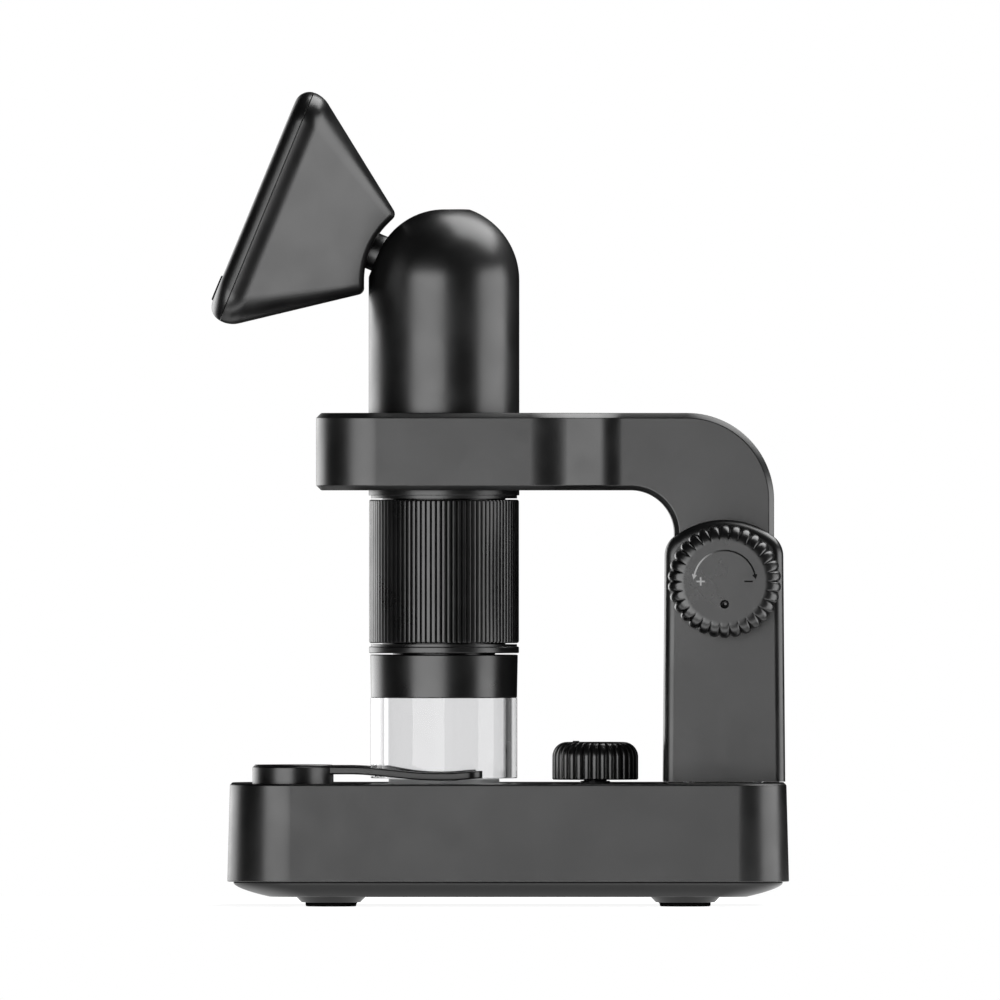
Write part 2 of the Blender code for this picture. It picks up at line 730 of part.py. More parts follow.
def make_stage():
    """Glass disc in the base, with the lamp below it."""
    low = BASE_TOP_Z - STAGE_GLASS_SEAT + GAP
    high = BASE_TOP_Z + STAGE_GLASS_PROUD
    edge = GAP
    profile = [(0, high), (STAGE_GLASS_RADIUS - edge, high), (STAGE_GLASS_RADIUS, high - edge)]
    profile += [(STAGE_GLASS_RADIUS, low), (0, low)]
    at(turned("stage_glass", profile, "frosted_glass"), TUBE_X)
    board_top = BASE_TOP_Z - LAMP_WELL_DEPTH - GAP
    board = rod("lamp_board", LAMP_BOARD_RADIUS, board_top - LAMP_BOARD_THICKNESS, board_top,
                "circuit_board", SMALL_STEPS)
    at(board, TUBE_X)
    foot = board_top + GAP
    dome = arc(0, foot + LED_HEIGHT - LED_RADIUS, LED_RADIUS, 90, 0, 4)
    dome[0] = (0, dome[0][1])
    lamp = turned("lamp_led", dome + [(LED_RADIUS, foot), (0, foot)], "white_resin", SMALL_STEPS)
    at(lamp, TUBE_X)


def make_dimmer():
    """Ribbed brightness knob on its potentiometer."""
    axis = add_axis("dimmer_axis", (DIMMER_X, 0, 0))
    low = DIMMER_BOTTOM_Z
    high = low + DIMMER_HEIGHT
    rings = [lobed_ring(DIMMER_RADIUS, DIMMER_LOBE_DEPTH, DIMMER_LOBES, low)]
    for lift in (0, 45, 90):
        angle = math.radians(lift)
        radius = DIMMER_RADIUS - DIMMER_SHOULDER * (1 - math.cos(angle))
        height = high - DIMMER_SHOULDER * (1 - math.sin(angle))
        depth = DIMMER_LOBE_DEPTH * math.cos(angle)
        rings.append(lobed_ring(radius, depth, DIMMER_LOBES, height))
    knob = carry(loft("dimmer_knob", rings, "knob_black"), axis)
    shaft_top = high - WALL - GAP
    dot = rod("dimmer_dot", DIMMER_DOT_RADIUS, high - WALL / 2, high + DOT_HEIGHT)
    join(knob, at(carry(dot, axis), -DIMMER_DOT_REACH))
    socket = rod("dimmer_socket", DIMMER_SHAFT_RADIUS + GAP, 0, shaft_top + GAP)
    cut(knob, carry(socket, axis))
    wall_bottom = BASE_TOP_Z - WALL - GAP
    body_bottom = wall_bottom - DIMMER_BODY_HEIGHT
    half = DIMMER_BODY / 2
    body = box("dimmer_potentiometer", (DIMMER_X - half, -half, body_bottom),
               (DIMMER_X + half, half, wall_bottom), "inner_black")
    neck_low = body_bottom + WALL
    neck = rod("potentiometer_neck", DIMMER_NECK_RADIUS, neck_low, low - GAP)
    shaft = rod("potentiometer_shaft", DIMMER_SHAFT_RADIUS, neck_low, shaft_top)
    join(body, at(neck, DIMMER_X), at(shaft, DIMMER_X))


def smooth_step(value):
    value = min(max(value, 0.0), 1.0)
    return value * value * (3 - 2 * value)


def clip_side_outline():
    """Side view of the springy clip arm, from the puck's axis to the tip."""
    upper = []
    for index in range(CLIP_STEPS + 1):
        share = index / CLIP_STEPS
        height = CLIP_TOP_Z - CLIP_ROOT_DROP
        height -= CLIP_DIP * smooth_step((share - CLIP_DIP_START) / CLIP_DIP_SPAN)
        height += CLIP_TIP_RISE * smooth_step((share - CLIP_RISE_START) / CLIP_RISE_SPAN)
        upper.append((share * CLIP_REACH, height))
    lower = [(x, height - CLIP_THICKNESS) for x, height in reversed(upper)]
    return upper + lower


def clip_plan_outline():
    """Plan of the clip arm, straight with a round tip."""
    half = CLIP_WIDTH / 2
    tip = arc(CLIP_REACH - half, 0, half, -90, 90, 8)
    return [(0, -half)] + tip + [(0, half)]


def make_clip(name, side):
    """One stage clip, turning on its puck."""
    axis = add_axis(f"{name}_axis", (CLIP_X, side * CLIP_Y, 0))
    low = BASE_TOP_Z + GAP
    edge = CLIP_PUCK_RADIUS - CLIP_EDGE
    profile = [(0, CLIP_TOP_Z), (edge, CLIP_TOP_Z), (CLIP_PUCK_RADIUS, CLIP_TOP_Z - CLIP_EDGE)]
    profile += [(CLIP_PUCK_RADIUS, low), (0, low)]
    clip = carry(turned(name, profile, "satin_black"), axis)
    arm = stand_up(prism("clip_arm", clip_side_outline(), -CLIP_WIDTH, CLIP_WIDTH))
    plan = prism("clip_plan", clip_plan_outline(), 0, CLIP_TOP_Z + OVERCUT)
    keep_inside(carry(arm, axis), carry(plan, axis))
    pad_top = CLIP_TOP_Z - CLIP_ROOT_DROP - CLIP_DIP - CLIP_THICKNESS / 2
    pad_profile = [(0, pad_top), (CLIP_PAD_RADIUS, pad_top)]
    pad_profile += [(CLIP_PAD_RADIUS, CLIP_PAD_Z + CLIP_EDGE)]
    pad_profile += [(CLIP_PAD_RADIUS - CLIP_EDGE, CLIP_PAD_Z), (0, CLIP_PAD_Z)]
    pad = at(carry(turned("clip_pad", pad_profile, steps=SMALL_STEPS), axis), CLIP_PAD_REACH)
    join(clip, arm, pad)
    post_top = CLIP_TOP_Z - WALL / 2
    hole = rod("clip_post_hole", CLIP_POST_RADIUS + GAP, 0, post_top)
    cut(clip, carry(hole, axis))
    seat = BASE_TOP_Z - WALL - GAP
    post = headed_rod(f"{name}_post", CLIP_POST_RADIUS, CLIP_POST_HEAD_RADIUS,
                      seat - CLIP_POST_HEAD, seat, post_top - GAP, "steel")
    at(post, CLIP_X, side * CLIP_Y)


def column_plan(inset):
    """Rectangle of the column's foot, drawn in by an inset."""
    half_x = COLUMN_HALF_X + COLUMN_DRAFT - inset
    half_y = COLUMN_HALF_Y - inset
    return [(COLUMN_X - half_x, -half_y), (COLUMN_X + half_x, -half_y),
            (COLUMN_X + half_x, half_y), (COLUMN_X - half_x, half_y)]


def column_outline():
    """Front view of the column: drafted sides and an arched top with rounded shoulders."""
    half = COLUMN_HALF_X
    rise = COLUMN_ARCH_RISE
    radius = (half * half + rise * rise) / (2 * rise)
    arch_z = COLUMN_TOP_Z - radius
    corner_x = half - COLUMN_CORNER
    lift = math.sqrt((radius - COLUMN_CORNER) ** 2 - corner_x ** 2)
    turn = math.degrees(math.atan2(lift, corner_x))
    shoulder_z = arch_z + lift
    points = arc(COLUMN_X + corner_x, shoulder_z, COLUMN_CORNER, 0, turn, 3)
    points += arc(COLUMN_X, arch_z, radius, turn, 180 - turn, 9)[1:-1]
    points += arc(COLUMN_X - corner_x, shoulder_z, COLUMN_CORNER, 180 - turn, 180, 3)
    foot = half + COLUMN_DRAFT
    points += [(COLUMN_X - foot, COLUMN_BOTTOM_Z), (COLUMN_X + foot, COLUMN_BOTTOM_Z)]
    return points


def round_face_edges(piece, half, floor, width):
    """Round the outline edges of both faces of a prism, apart from those at its floor."""
    work = bmesh.new()
    work.from_mesh(piece.data)
    chosen = []
    for edge in work.edges:
        first, second = edge.verts
        on_face = abs(abs(first.co.z) - half) < MERGE and abs(first.co.z - second.co.z) < MERGE
        at_floor = first.co.y < floor + MERGE and second.co.y < floor + MERGE
        if on_face and not at_floor:
            chosen.append(edge)
    bmesh.ops.bevel(work, geom=chosen, offset=width, segments=2, profile=0.5,
                    affect="EDGES", clamp_overlap=True)
    work.to_mesh(piece.data)
    work.free()


def make_column():
    """Hollow column with arched cheeks, screwed down from inside the base."""
    column = prism("column_shell", column_outline(), -COLUMN_HALF_Y, COLUMN_HALF_Y,
                   "satin_black")
    round_face_edges(column, COLUMN_HALF_Y, COLUMN_BOTTOM_Z, COLUMN_EDGE)
    stand_up(column)
    half_x = POST_HALF_X + RUN
    half_y = POST_HALF_Y + RUN
    floor = COLUMN_BOTTOM_Z + COLUMN_FOOT
    channel = box("post_channel", (COLUMN_X - half_x, -half_y, floor),
                  (COLUMN_X + half_x, half_y, COLUMN_TOP_Z + OVERCUT))
    bearing = rod("bearing_hole", SHAFT_RADIUS + GAP + BUSH_WALL + GAP,
                  -COLUMN_HALF_Y - OVERCUT, COLUMN_HALF_Y + OVERCUT)
    at(stand_up(bearing), COLUMN_X, 0, SHAFT_Z)
    cut(column, channel, bearing)
    seat = BASE_TOP_Z - WALL - GAP
    tip = COLUMN_BOTTOM_Z + COLUMN_SCREW_GRIP
    for number, x in enumerate(column_screw_places(), 1):
        hole = rod("column_thread", SCREW_HOLE_RADIUS, 0, tip + GAP)
        cut(column, at(hole, x))
        screw = headed_rod(f"column_screw_{number}", SCREW_RADIUS, SCREW_HEAD_RADIUS,
                           seat - SCREW_HEAD, seat, tip, "steel", TINY_STEPS)
        at(screw, x)


def arm_plan_outline():
    """Plan of the arm: block round the tube, S-curve, then the width of the post."""
    step = ARM_HALF_WIDTH - POST_HALF_Y
    turn = math.degrees(math.acos(1 - step / (ARM_SWELL_OUT + ARM_SWELL_IN)))
    start_x = TUBE_X + ARM_FLAT
    end_x = start_x + (ARM_SWELL_OUT + ARM_SWELL_IN) * math.sin(math.radians(turn))
    left = TUBE_X - ARM_REACH
    right = COLUMN_X + POST_HALF_X
    corner = min(ARM_CORNER, ARM_HALF_WIDTH)
    upper = [(right, POST_HALF_Y)]
    upper += arc(end_x, POST_HALF_Y + ARM_SWELL_IN, ARM_SWELL_IN, 270, 270 - turn, 6)
    upper += arc(start_x, ARM_HALF_WIDTH - ARM_SWELL_OUT, ARM_SWELL_OUT, 90 - turn, 90, 6)[1:]
    upper += arc(left + corner, ARM_HALF_WIDTH - corner, corner, 90, 180, 6)
    lower = [(x, -y) for x, y in reversed(upper)]
    return upper + lower


def arm_side_outline():
    """Side view of the arm: flat block, outer and inner bend, and the post."""
    outer = COLUMN_X + POST_HALF_X
    inner = COLUMN_X - POST_HALF_X
    left = TUBE_X - ARM_REACH - OVERCUT
    points = [(inner, POST_BOTTOM_Z), (outer, POST_BOTTOM_Z)]
    points += arc(outer - ARM_OUTER_BEND, ARM_TOP_Z - ARM_OUTER_BEND, ARM_OUTER_BEND, 0, 90, 8)
    points += [(left, ARM_TOP_Z), (left, ARM_BOTTOM_Z)]
    points += arc(inner - ARM_INNER_BEND, ARM_BOTTOM_Z - ARM_INNER_BEND, ARM_INNER_BEND,
                  90, 0, 6)
    return points


def stadium(centre_x, low, high, radius):
    """A slot outline with round ends, standing along the second axis."""
    points = arc(centre_x, high - radius, radius, 0, 180, 10)
    points += arc(centre_x, low + radius, radius, 180, 360, 10)
    return points


def make_arm():
    """Arm and post in one moulding, bored for the tube and hollow for the rack."""
    arm = prism("focus_arm", arm_plan_outline(), POST_BOTTOM_Z - OVERCUT,
                ARM_TOP_Z + OVERCUT, "satin_black")
    side_half = ARM_HALF_WIDTH + OVERCUT
    side = stand_up(prism("arm_side", arm_side_outline(), -side_half, side_half))
    keep_inside(arm, side)
    soften(arm, ARM_EDGE, 1, 45)
    bore = rod("tube_bore", ARM_BORE, ARM_BOTTOM_Z - OVERCUT, ARM_TOP_Z + OVERCUT,
               steps=ROUND_STEPS)
    cavity_y = POST_HALF_Y - POST_WALL_Y
    cavity = box("post_cavity",
                 (COLUMN_X - POST_CAVITY_HALF, -cavity_y, POST_BOTTOM_Z - OVERCUT),
                 (COLUMN_X + POST_CAVITY_HALF, cavity_y, ARM_BOTTOM_Z - POST_CEILING))
    reach = SHAFT_RADIUS + RUN
    slot_outline = stadium(COLUMN_X, SHAFT_Z - FOCUS_TRAVEL - reach, SHAFT_Z + reach, reach)
    slot = stand_up(prism("shaft_slot", slot_outline, -side_half, side_half))
    cut(arm, at(bore, TUBE_X), cavity, slot)
    profile = [(LINER_RADIUS, ARM_TOP_Z - LINER_INSET), (LINER_RADIUS, ARM_BOTTOM_Z + LINER_INSET)]
    profile += [(LINER_BORE, ARM_BOTTOM_Z + LINER_INSET), (LINER_BORE, ARM_TOP_Z - LINER_INSET)]
    at(turned("holder_liner", profile, "felt", ROUND_STEPS), TUBE_X)
    return arm


def involute(radius, base_radius):
    """Angle that the involute has unrolled through at a radius."""
    pressure = math.acos(min(base_radius / radius, 1.0))
    return math.tan(pressure) - pressure


def pinion_outline():
    """Involute teeth, with one tooth pointing along +X."""
    pressure = math.radians(GEAR_PRESSURE)
    base_radius = GEAR_RADIUS * math.cos(pressure)
    thickness = math.pi * GEAR_MODULE / 2 - GEAR_BACKLASH
    half_angle = thickness / (2 * GEAR_RADIUS) + involute(GEAR_RADIUS, base_radius)
    start = max(base_radius, GEAR_ROOT_RADIUS)
    flank = [(GEAR_ROOT_RADIUS, half_angle)]
    flank_steps = 2
    for index in range(flank_steps + 1):
        radius = start + (GEAR_TIP_RADIUS - start) * index / flank_steps
        flank.append((radius, half_angle - involute(radius, base_radius)))
    tooth = [(radius, -angle) for radius, angle in flank]
    tooth += [(radius, angle) for radius, angle in reversed(flank)]
    points = []
    for number in range(GEAR_TEETH):
        centre = 2 * math.pi * number / GEAR_TEETH
        points += [(radius * math.cos(centre + angle), radius * math.sin(centre + angle))
                   for radius, angle in tooth]
    return points


def rack_outline():
    """Straight-sided teeth that face the pinion, with a space level with the shaft."""
    pitch = math.pi * GEAR_MODULE
    slope = math.tan(math.radians(GEAR_PRESSURE))
    thickness = pitch / 2 - GEAR_BACKLASH
    tip_half = thickness / 2 - GEAR_ADDENDUM * GEAR_MODULE * slope
    root_half = thickness / 2 + GEAR_DEDENDUM * GEAR_MODULE * slope
    tip_x = COLUMN_X + GEAR_RADIUS - GEAR_ADDENDUM * GEAR_MODULE
    root_x = COLUMN_X + RACK_ROOT
    above = math.ceil(GEAR_TIP_RADIUS / pitch)
    below = math.ceil((FOCUS_TRAVEL + GEAR_TIP_RADIUS) / pitch)
    low = SHAFT_Z - (below + 0.5) * pitch
    high = SHAFT_Z + (above + 0.5) * pitch
    points = [(COLUMN_X + RACK_BACK, high), (root_x, high)]
    for number in reversed(range(-below, above)):
        centre = SHAFT_Z + (number + 0.5) * pitch
        points += [(root_x, centre + root_half), (tip_x, centre + tip_half)]
        points += [(tip_x, centre - tip_half), (root_x, centre - root_half)]
    points += [(root_x, low), (COLUMN_X + RACK_BACK, low)]
    return points


def make_knob(name, axis, far):
    """Fluted focus knob with a flat face and a raised dot."""
    back = COLUMN_HALF_Y + GAP + BUSH_FLANGE + RUN
    front = back + KNOB_LENGTH
    rings = [lobed_ring(KNOB_RADIUS, KNOB_LOBE_DEPTH, KNOB_LOBES, back)]
    for lift in (0, 45, 90):
        angle = math.radians(lift)
        radius = KNOB_FACE_RADIUS + (KNOB_RADIUS - KNOB_FACE_RADIUS) * math.cos(angle)
        height = front - KNOB_SHOULDER * (1 - math.sin(angle))
        rings.append(lobed_ring(radius, KNOB_LOBE_DEPTH * math.cos(angle), KNOB_LOBES, height))
    knob = carry(loft(name, rings, "knob_black"), axis)
    dot = carry(rod("knob_dot", KNOB_DOT_RADIUS, front - WALL, front + DOT_HEIGHT), axis)
    socket = carry(rod("knob_socket", SHAFT_RADIUS + GAP, back - OVERCUT, back + KNOB_SOCKET), axis)
    at(dot, 0, -KNOB_DOT_DROP)
    if far:
        for piece in (knob, dot, socket):
            piece.rotation_euler = (0, math.pi, 0)
    join(knob, dot)
    cut(knob, socket)


def make_focus_drive():
    """Shaft, pinion, bushings and the two knobs, along the near direction, and the rack."""
    turn = Matrix.Rotation(math.pi / 2, 3, "X")
    axis = add_axis("focus_axis", (COLUMN_X, 0, SHAFT_Z), turn)
    back = COLUMN_HALF_Y + GAP + BUSH_FLANGE + RUN
    shaft_end = back + KNOB_SOCKET - GAP
    carry(rod("pinion_shaft", SHAFT_RADIUS, -shaft_end, shaft_end, "steel"), axis)
    pinion = prism("focus_pinion", pinion_outline(), -GEAR_HALF_WIDTH, GEAR_HALF_WIDTH, "brass")
    hole = rod("pinion_hole", SHAFT_RADIUS + GAP, -shaft_end, shaft_end)
    cut(carry(pinion, axis), carry(hole, axis))
    for name, far in (("near", False), ("far", True)):
        bore = SHAFT_RADIUS + GAP
        outer = bore + BUSH_WALL
        face = COLUMN_HALF_Y + GAP
        profile = [(BUSH_FLANGE_RADIUS, face + BUSH_FLANGE), (BUSH_FLANGE_RADIUS, face)]
        profile += [(outer, face), (outer, COLUMN_HALF_Y - WALL)]
        profile += [(bore, COLUMN_HALF_Y - WALL), (bore, face + BUSH_FLANGE)]
        bush = carry(turned(f"shaft_bushing_{name}", profile, "bronze", SMALL_STEPS), axis)
        if far:
            bush.rotation_euler = (0, math.pi, 0)
        make_knob(f"focus_knob_{name}", axis, far)
    stand_up(prism("focus_rack", rack_outline(), -GEAR_HALF_WIDTH, GEAR_HALF_WIDTH, "brass"))


def slot_cutter():
    """The tilt slot as a loft of flat sections that fan out from the pivot."""
    inner = BALL_RADIUS - SLOT_HALF_WIDTH
    outer = TUBE_RADIUS + OVERCUT
    steps = (84, 66, 44, 22)
    sweep = 6
    stations = [(TILT_REST, -step) for step in steps]
    stations += [(TILT_REST + (90 - TILT_REST) * index / sweep, 0) for index in range(sweep + 1)]
    stations += [(90, step) for step in reversed(steps)]
    rings = []
    for centre, step in stations:
        phase = math.radians(step)
        spread = math.degrees(math.asin(SLOT_HALF_WIDTH * math.sin(phase) / TUBE_RADIUS))
        angle = math.radians(180 - centre - spread)
        half = SLOT_HALF_WIDTH * math.cos(phase)
        corners = ((inner, -half), (inner, half), (outer, half), (outer, -half))
        rings.append([(TUBE_X + reach * math.cos(angle), y, DOME_Z + reach * math.sin(angle))
                      for reach, y in corners])
    return loft("tilt_slot", rings, None)


def make_tube(axis):
    """Main tube with its slotted dome, open below."""
    outer = arc(0, DOME_Z, TUBE_RADIUS, 90, 0, 7)
    inner = arc(0, DOME_Z, TUBE_BORE, 0, 90, 5)
    outer[0] = (0, outer[0][1])
    inner[-1] = (0, inner[-1][1])
    profile = outer + [(TUBE_RADIUS, TUBE_SHOULDER_Z), (GROOVE_RADIUS, TUBE_SHOULDER_Z)]
    profile += [(GROOVE_RADIUS, TUBE_END_Z), (TUBE_BORE, TUBE_END_Z)] + inner
    tube = carry(turned("microscope_tube", profile, "satin_black"), axis)
    cut(tube, slot_cutter())


def make_barrel(axis):
    """Inner barrel that carries the focus ring, flange and neck."""
    tail = TUBE_BORE - GAP
    profile = [(tail, BARREL_TOP_Z), (tail, TUBE_END_Z), (FOCUS_BARREL_RADIUS, TUBE_END_Z)]
    profile += [(FOCUS_BARREL_RADIUS, RING_BOTTOM_Z - GAP), (GROOVE_RADIUS, RING_BOTTOM_Z - GAP)]
    profile += [(GROOVE_RADIUS, FLANGE_TOP_Z), (RING_RADIUS, FLANGE_TOP_Z)]
    profile += [(RING_RADIUS, FLANGE_BOTTOM_Z), (NECK_RADIUS, FLANGE_BOTTOM_Z)]
    neck_bottom = COLLAR_BOTTOM_Z + COLLAR_WALL
    profile += [(NECK_RADIUS, neck_bottom), (BARREL_BORE, neck_bottom)]
    profile += [(BARREL_BORE, BARREL_TOP_Z)]
    carry(turned("nose_barrel", profile, "inner_black", MIDDLE_STEPS), axis)
    board_low = BARREL_TOP_Z + GAP
    carry(rod("sensor_board", tail - WALL, board_low, board_low + SENSOR_BOARD_THICKNESS,
              "circuit_board", MIDDLE_STEPS), axis)


def make_focus_ring(axis):
    """Knurled ring of fine upright ribs."""
    outline = []
    for index in range(FOCUS_RIBS):
        for part, reach in ((0.0, 0), (0.5, 1)):
            angle = 2 * math.pi * (index + part) / FOCUS_RIBS
            radius = RING_RADIUS - FOCUS_RIB_DEPTH * reach
            outline.append((radius * math.cos(angle), radius * math.sin(angle)))
    grip = prism("focus_ring", outline, RING_BOTTOM_Z, RING_TOP_Z, "knob_black")
    bore = rod("ring_bore", FOCUS_BARREL_RADIUS + GAP, RING_BOTTOM_Z - OVERCUT,
               RING_TOP_Z + OVERCUT, steps=MIDDLE_STEPS)
    cut(carry(grip, axis), carry(bore, axis))


def make_lens(axis):
    """Sliding carrier with its front lens."""
    high = COLLAR_TOP_Z + LENS_CARRIER_DROP
    low = high - LENS_CARRIER_LENGTH
    outer = BARREL_BORE - GAP
    inner = outer - LENS_CARRIER_WALL
    lip = inner - LENS_CARRIER_WALL / 2
    seat = low + WALL / 2
    profile = [(outer, high), (outer, low), (lip, low), (lip, seat), (inner, seat), (inner, high)]
    carry(turned("lens_carrier", profile, "inner_black", MIDDLE_STEPS), axis)
    lens_low = seat + GAP
    edge = inner - GAP
    profile = [(0, lens_low + LENS_THICKNESS), (edge / 2, lens_low + LENS_THICKNESS * LENS_MIDWAY)]
    profile += [(edge, lens_low + LENS_THICKNESS * LENS_SHOULDER), (edge, lens_low), (0, lens_low)]
    carry(turned("objective_lens", profile, "clear_plastic", MIDDLE_STEPS), axis)


def make_nose(axis):
    """Collar, lamp ring and clear hood below the flange."""
    low_radius = COLLAR_RADIUS - COLLAR_DRAFT
    inner = low_radius - COLLAR_WALL
    ceiling = COLLAR_TOP_Z - COLLAR_TOP
    neck_hole = NECK_RADIUS + GAP
    profile = [(COLLAR_RADIUS, COLLAR_TOP_Z), (low_radius, COLLAR_BOTTOM_Z)]
    profile += [(inner, COLLAR_BOTTOM_Z), (inner, ceiling), (neck_hole, ceiling)]
    profile += [(neck_hole, COLLAR_TOP_Z)]
    carry(turned("hood_collar", profile, "knob_black"), axis)
    board_high = ceiling - GAP
    board_low = board_high - LED_RING_THICKNESS
    profile = [(inner - GAP, board_high), (inner - GAP, board_low)]
    profile += [(neck_hole, board_low), (neck_hole, board_high)]
    carry(turned("led_ring", profile, "circuit_board", MIDDLE_STEPS), axis)
    top = COLLAR_BOTTOM_Z - GAP
    spigot = inner - GAP
    floor = top - HOOD_FLOOR
    profile = [(spigot, top + HOOD_SPIGOT), (spigot, top), (HOOD_RADIUS, top)]
    profile += [(HOOD_RADIUS, HOOD_BOTTOM_Z), (HOOD_RADIUS - HOOD_WALL, HOOD_BOTTOM_Z)]
    profile += [(HOOD_RADIUS - HOOD_WALL, floor), (spigot - HOOD_WALL, floor)]
    profile += [(spigot - HOOD_WALL, top + HOOD_SPIGOT)]
    carry(turned("clear_hood", profile, "clear_plastic"), axis)


def make_tube_inside(axis):
    """Bracket of the tilt joint, with the battery and main board below it."""
    cheek_y = BALL_HALF_WIDTH + RUN
    plate_low = BRACKET_TOP_Z - BRACKET_THICKNESS
    bracket = rod("tilt_bracket", TUBE_BORE - GAP, plate_low, BRACKET_TOP_Z, "steel",
                  MIDDLE_STEPS)
    carry(bracket, axis)
    for side in (-1, 1):
        outline = arc(0, DOME_Z, BRACKET_HALF, 0, 180, 10)
        outline += [(-BRACKET_HALF, BRACKET_TOP_Z - BRACKET_THICKNESS / 2),
                    (BRACKET_HALF, BRACKET_TOP_Z - BRACKET_THICKNESS / 2)]
        near = side * cheek_y
        far = side * (cheek_y + BRACKET_THICKNESS)
        cheek = stand_up(prism("cheek", outline, min(near, far), max(near, far)))
        join(bracket, carry(cheek, axis))
    half = cheek_y + BRACKET_THICKNESS + PIVOT_RADIUS
    hole = carry(stand_up(rod("pivot_hole", PIVOT_RADIUS + GAP, -half, half)), axis)
    cut(bracket, at(hole, 0, 0, DOME_Z))
    pin = carry(stand_up(rod("tilt_pivot_pin", PIVOT_RADIUS, -half, half, "steel")), axis)
    at(pin, 0, 0, DOME_Z)
    high = plate_low - GAP
    length, depth, height = HANDHELD_BATTERY
    box_low = (-length / 2, MAIN_BOARD_Y - GAP - depth, high - height)
    box_high = (length / 2, MAIN_BOARD_Y - GAP, high)
    carry(soften(box("handheld_battery", box_low, box_high, "battery_foil"), WALL / 2), axis)
    length, depth, height = MAIN_BOARD
    box_low = (-length / 2, MAIN_BOARD_Y, high - height)
    box_high = (length / 2, MAIN_BOARD_Y + depth, high)
    carry(box("main_board", box_low, box_high, "circuit_board"), axis)


def make_tilt_ball(axis):
    """Ball segment that fills the dome's slot, with the stalk that carries the head."""
    work = bmesh.new()
    bmesh.ops.create_uvsphere(work, u_segments=24, v_segments=14, radius=BALL_RADIUS)
    ball = carry(object_from("tilt_ball", work, "satin_black"), axis)
    reach = BALL_RADIUS + OVERCUT
    block = box("ball_block", (-BALL_HALF_WIDTH, -reach, -BALL_BACK),
                (BALL_HALF_WIDTH, reach, reach))
    keep_inside(ball, carry(block, axis))
    stalk_end = HEAD_FLOOR + HEAD_NUT_THICKNESS + GAP
    stalk = rod("stalk", STALK_RADIUS, BALL_RADIUS / 2, stalk_end)
    join(ball, carry(stalk, axis))
    hole = rod("ball_hole", PIVOT_RADIUS + GAP, -reach, reach)
    hole.rotation_euler = (0, math.pi / 2, 0)
    cut(ball, carry(hole, axis))
    low = HEAD_FLOOR + GAP
    high = low + HEAD_NUT_THICKNESS
    bore = STALK_RADIUS + GAP
    profile = [(HEAD_NUT_RADIUS, high), (HEAD_NUT_RADIUS, low), (bore, low), (bore, high)]
    carry(turned("head_nut", profile, "steel", SMALL_STEPS), axis)


def head_half(distance):
    """Half-size of the head at a distance from the pivot: taper, rear arc, flank, front arc."""
    taper = math.radians(HEAD_TAPER)
    front_centre = HEAD_FRONT - HEAD_EDGE
    rear_centre = front_centre - HEAD_FLANK
    tangent = rear_centre - HEAD_REAR_EDGE * math.sin(taper)
    if distance < tangent:
        widest = HEAD_HALF - HEAD_REAR_EDGE * (1 - math.cos(taper))
        return widest - (tangent - distance) * math.tan(taper)
    if distance < rear_centre:
        reach = rear_centre - distance
        return HEAD_HALF - HEAD_REAR_EDGE + math.sqrt(HEAD_REAR_EDGE ** 2 - reach ** 2)
    reach = min(max(distance - front_centre, 0.0), HEAD_EDGE)
    return HEAD_HALF - HEAD_EDGE + math.sqrt(HEAD_EDGE ** 2 - reach ** 2)


def head_ring(distance, inset=0.0):
    """One rounded square of the head."""
    half = head_half(distance)
    share = (half - head_half(HEAD_BACK)) / (HEAD_HALF - head_half(HEAD_BACK))
    corner = HEAD_BACK_CORNER + (HEAD_CORNER - HEAD_BACK_CORNER) * share
    half -= inset
    corner = max(corner - inset, BASE_EDGE)
    return raise_to(rounded_outline(-half, half, half, corner, corner), distance)


def front_edge_distances(start, steps):
    """Distances from the pivot that follow the head's front edge arc, from start to the face."""
    centre = HEAD_FRONT - HEAD_EDGE
    first = math.asin(min(max((start - centre) / HEAD_EDGE, 0.0), 1.0))
    turns = [first + (math.pi / 2 - first) * index / steps for index in range(steps + 1)]
    return [start] + [centre + HEAD_EDGE * math.sin(turn) for turn in turns[1:]]


def make_head_shell(axis):
    """Tapered rear housing, hollow and open to the front, hollowed behind for the dome."""
    start = HEAD_BACK - HEAD_WALL
    rear_centre = HEAD_FRONT - HEAD_EDGE - HEAD_FLANK
    turns = [math.radians(HEAD_TAPER * share) for share in (1.0, 0.5, 0.0)]
    bends = [rear_centre - HEAD_REAR_EDGE * math.sin(turn) for turn in turns]
    rings = [head_ring(HEAD_FLOOR, HEAD_WALL), head_ring(bends[0], HEAD_WALL),
             head_ring(HEAD_SEAM, HEAD_WALL), head_ring(HEAD_SEAM)]
    rings += [head_ring(distance) for distance in reversed(bends)]
    rings.append(head_ring(start))
    shell = carry(loft("head_rear_shell", rings, "satin_black"), axis)
    reach = HEAD_HALF + OVERCUT
    hollow = rod("dome_hollow", HEAD_BACK_RADIUS, -reach, reach, steps=DOME_STEPS)
    hollow.rotation_euler = (0, math.pi / 2, 0)
    hole = rod("stalk_hole", STALK_RADIUS + GAP, 0, HEAD_FLOOR + OVERCUT)
    cut(shell, carry(hollow, axis), carry(hole, axis))


def shifted(outline, shift):
    return [(x, y + shift) for x, y in outline]


def button_places():
    middle = (BUTTON_COUNT - 1) / 2
    return [(number - middle) * BUTTON_SPACING for number in range(BUTTON_COUNT)]


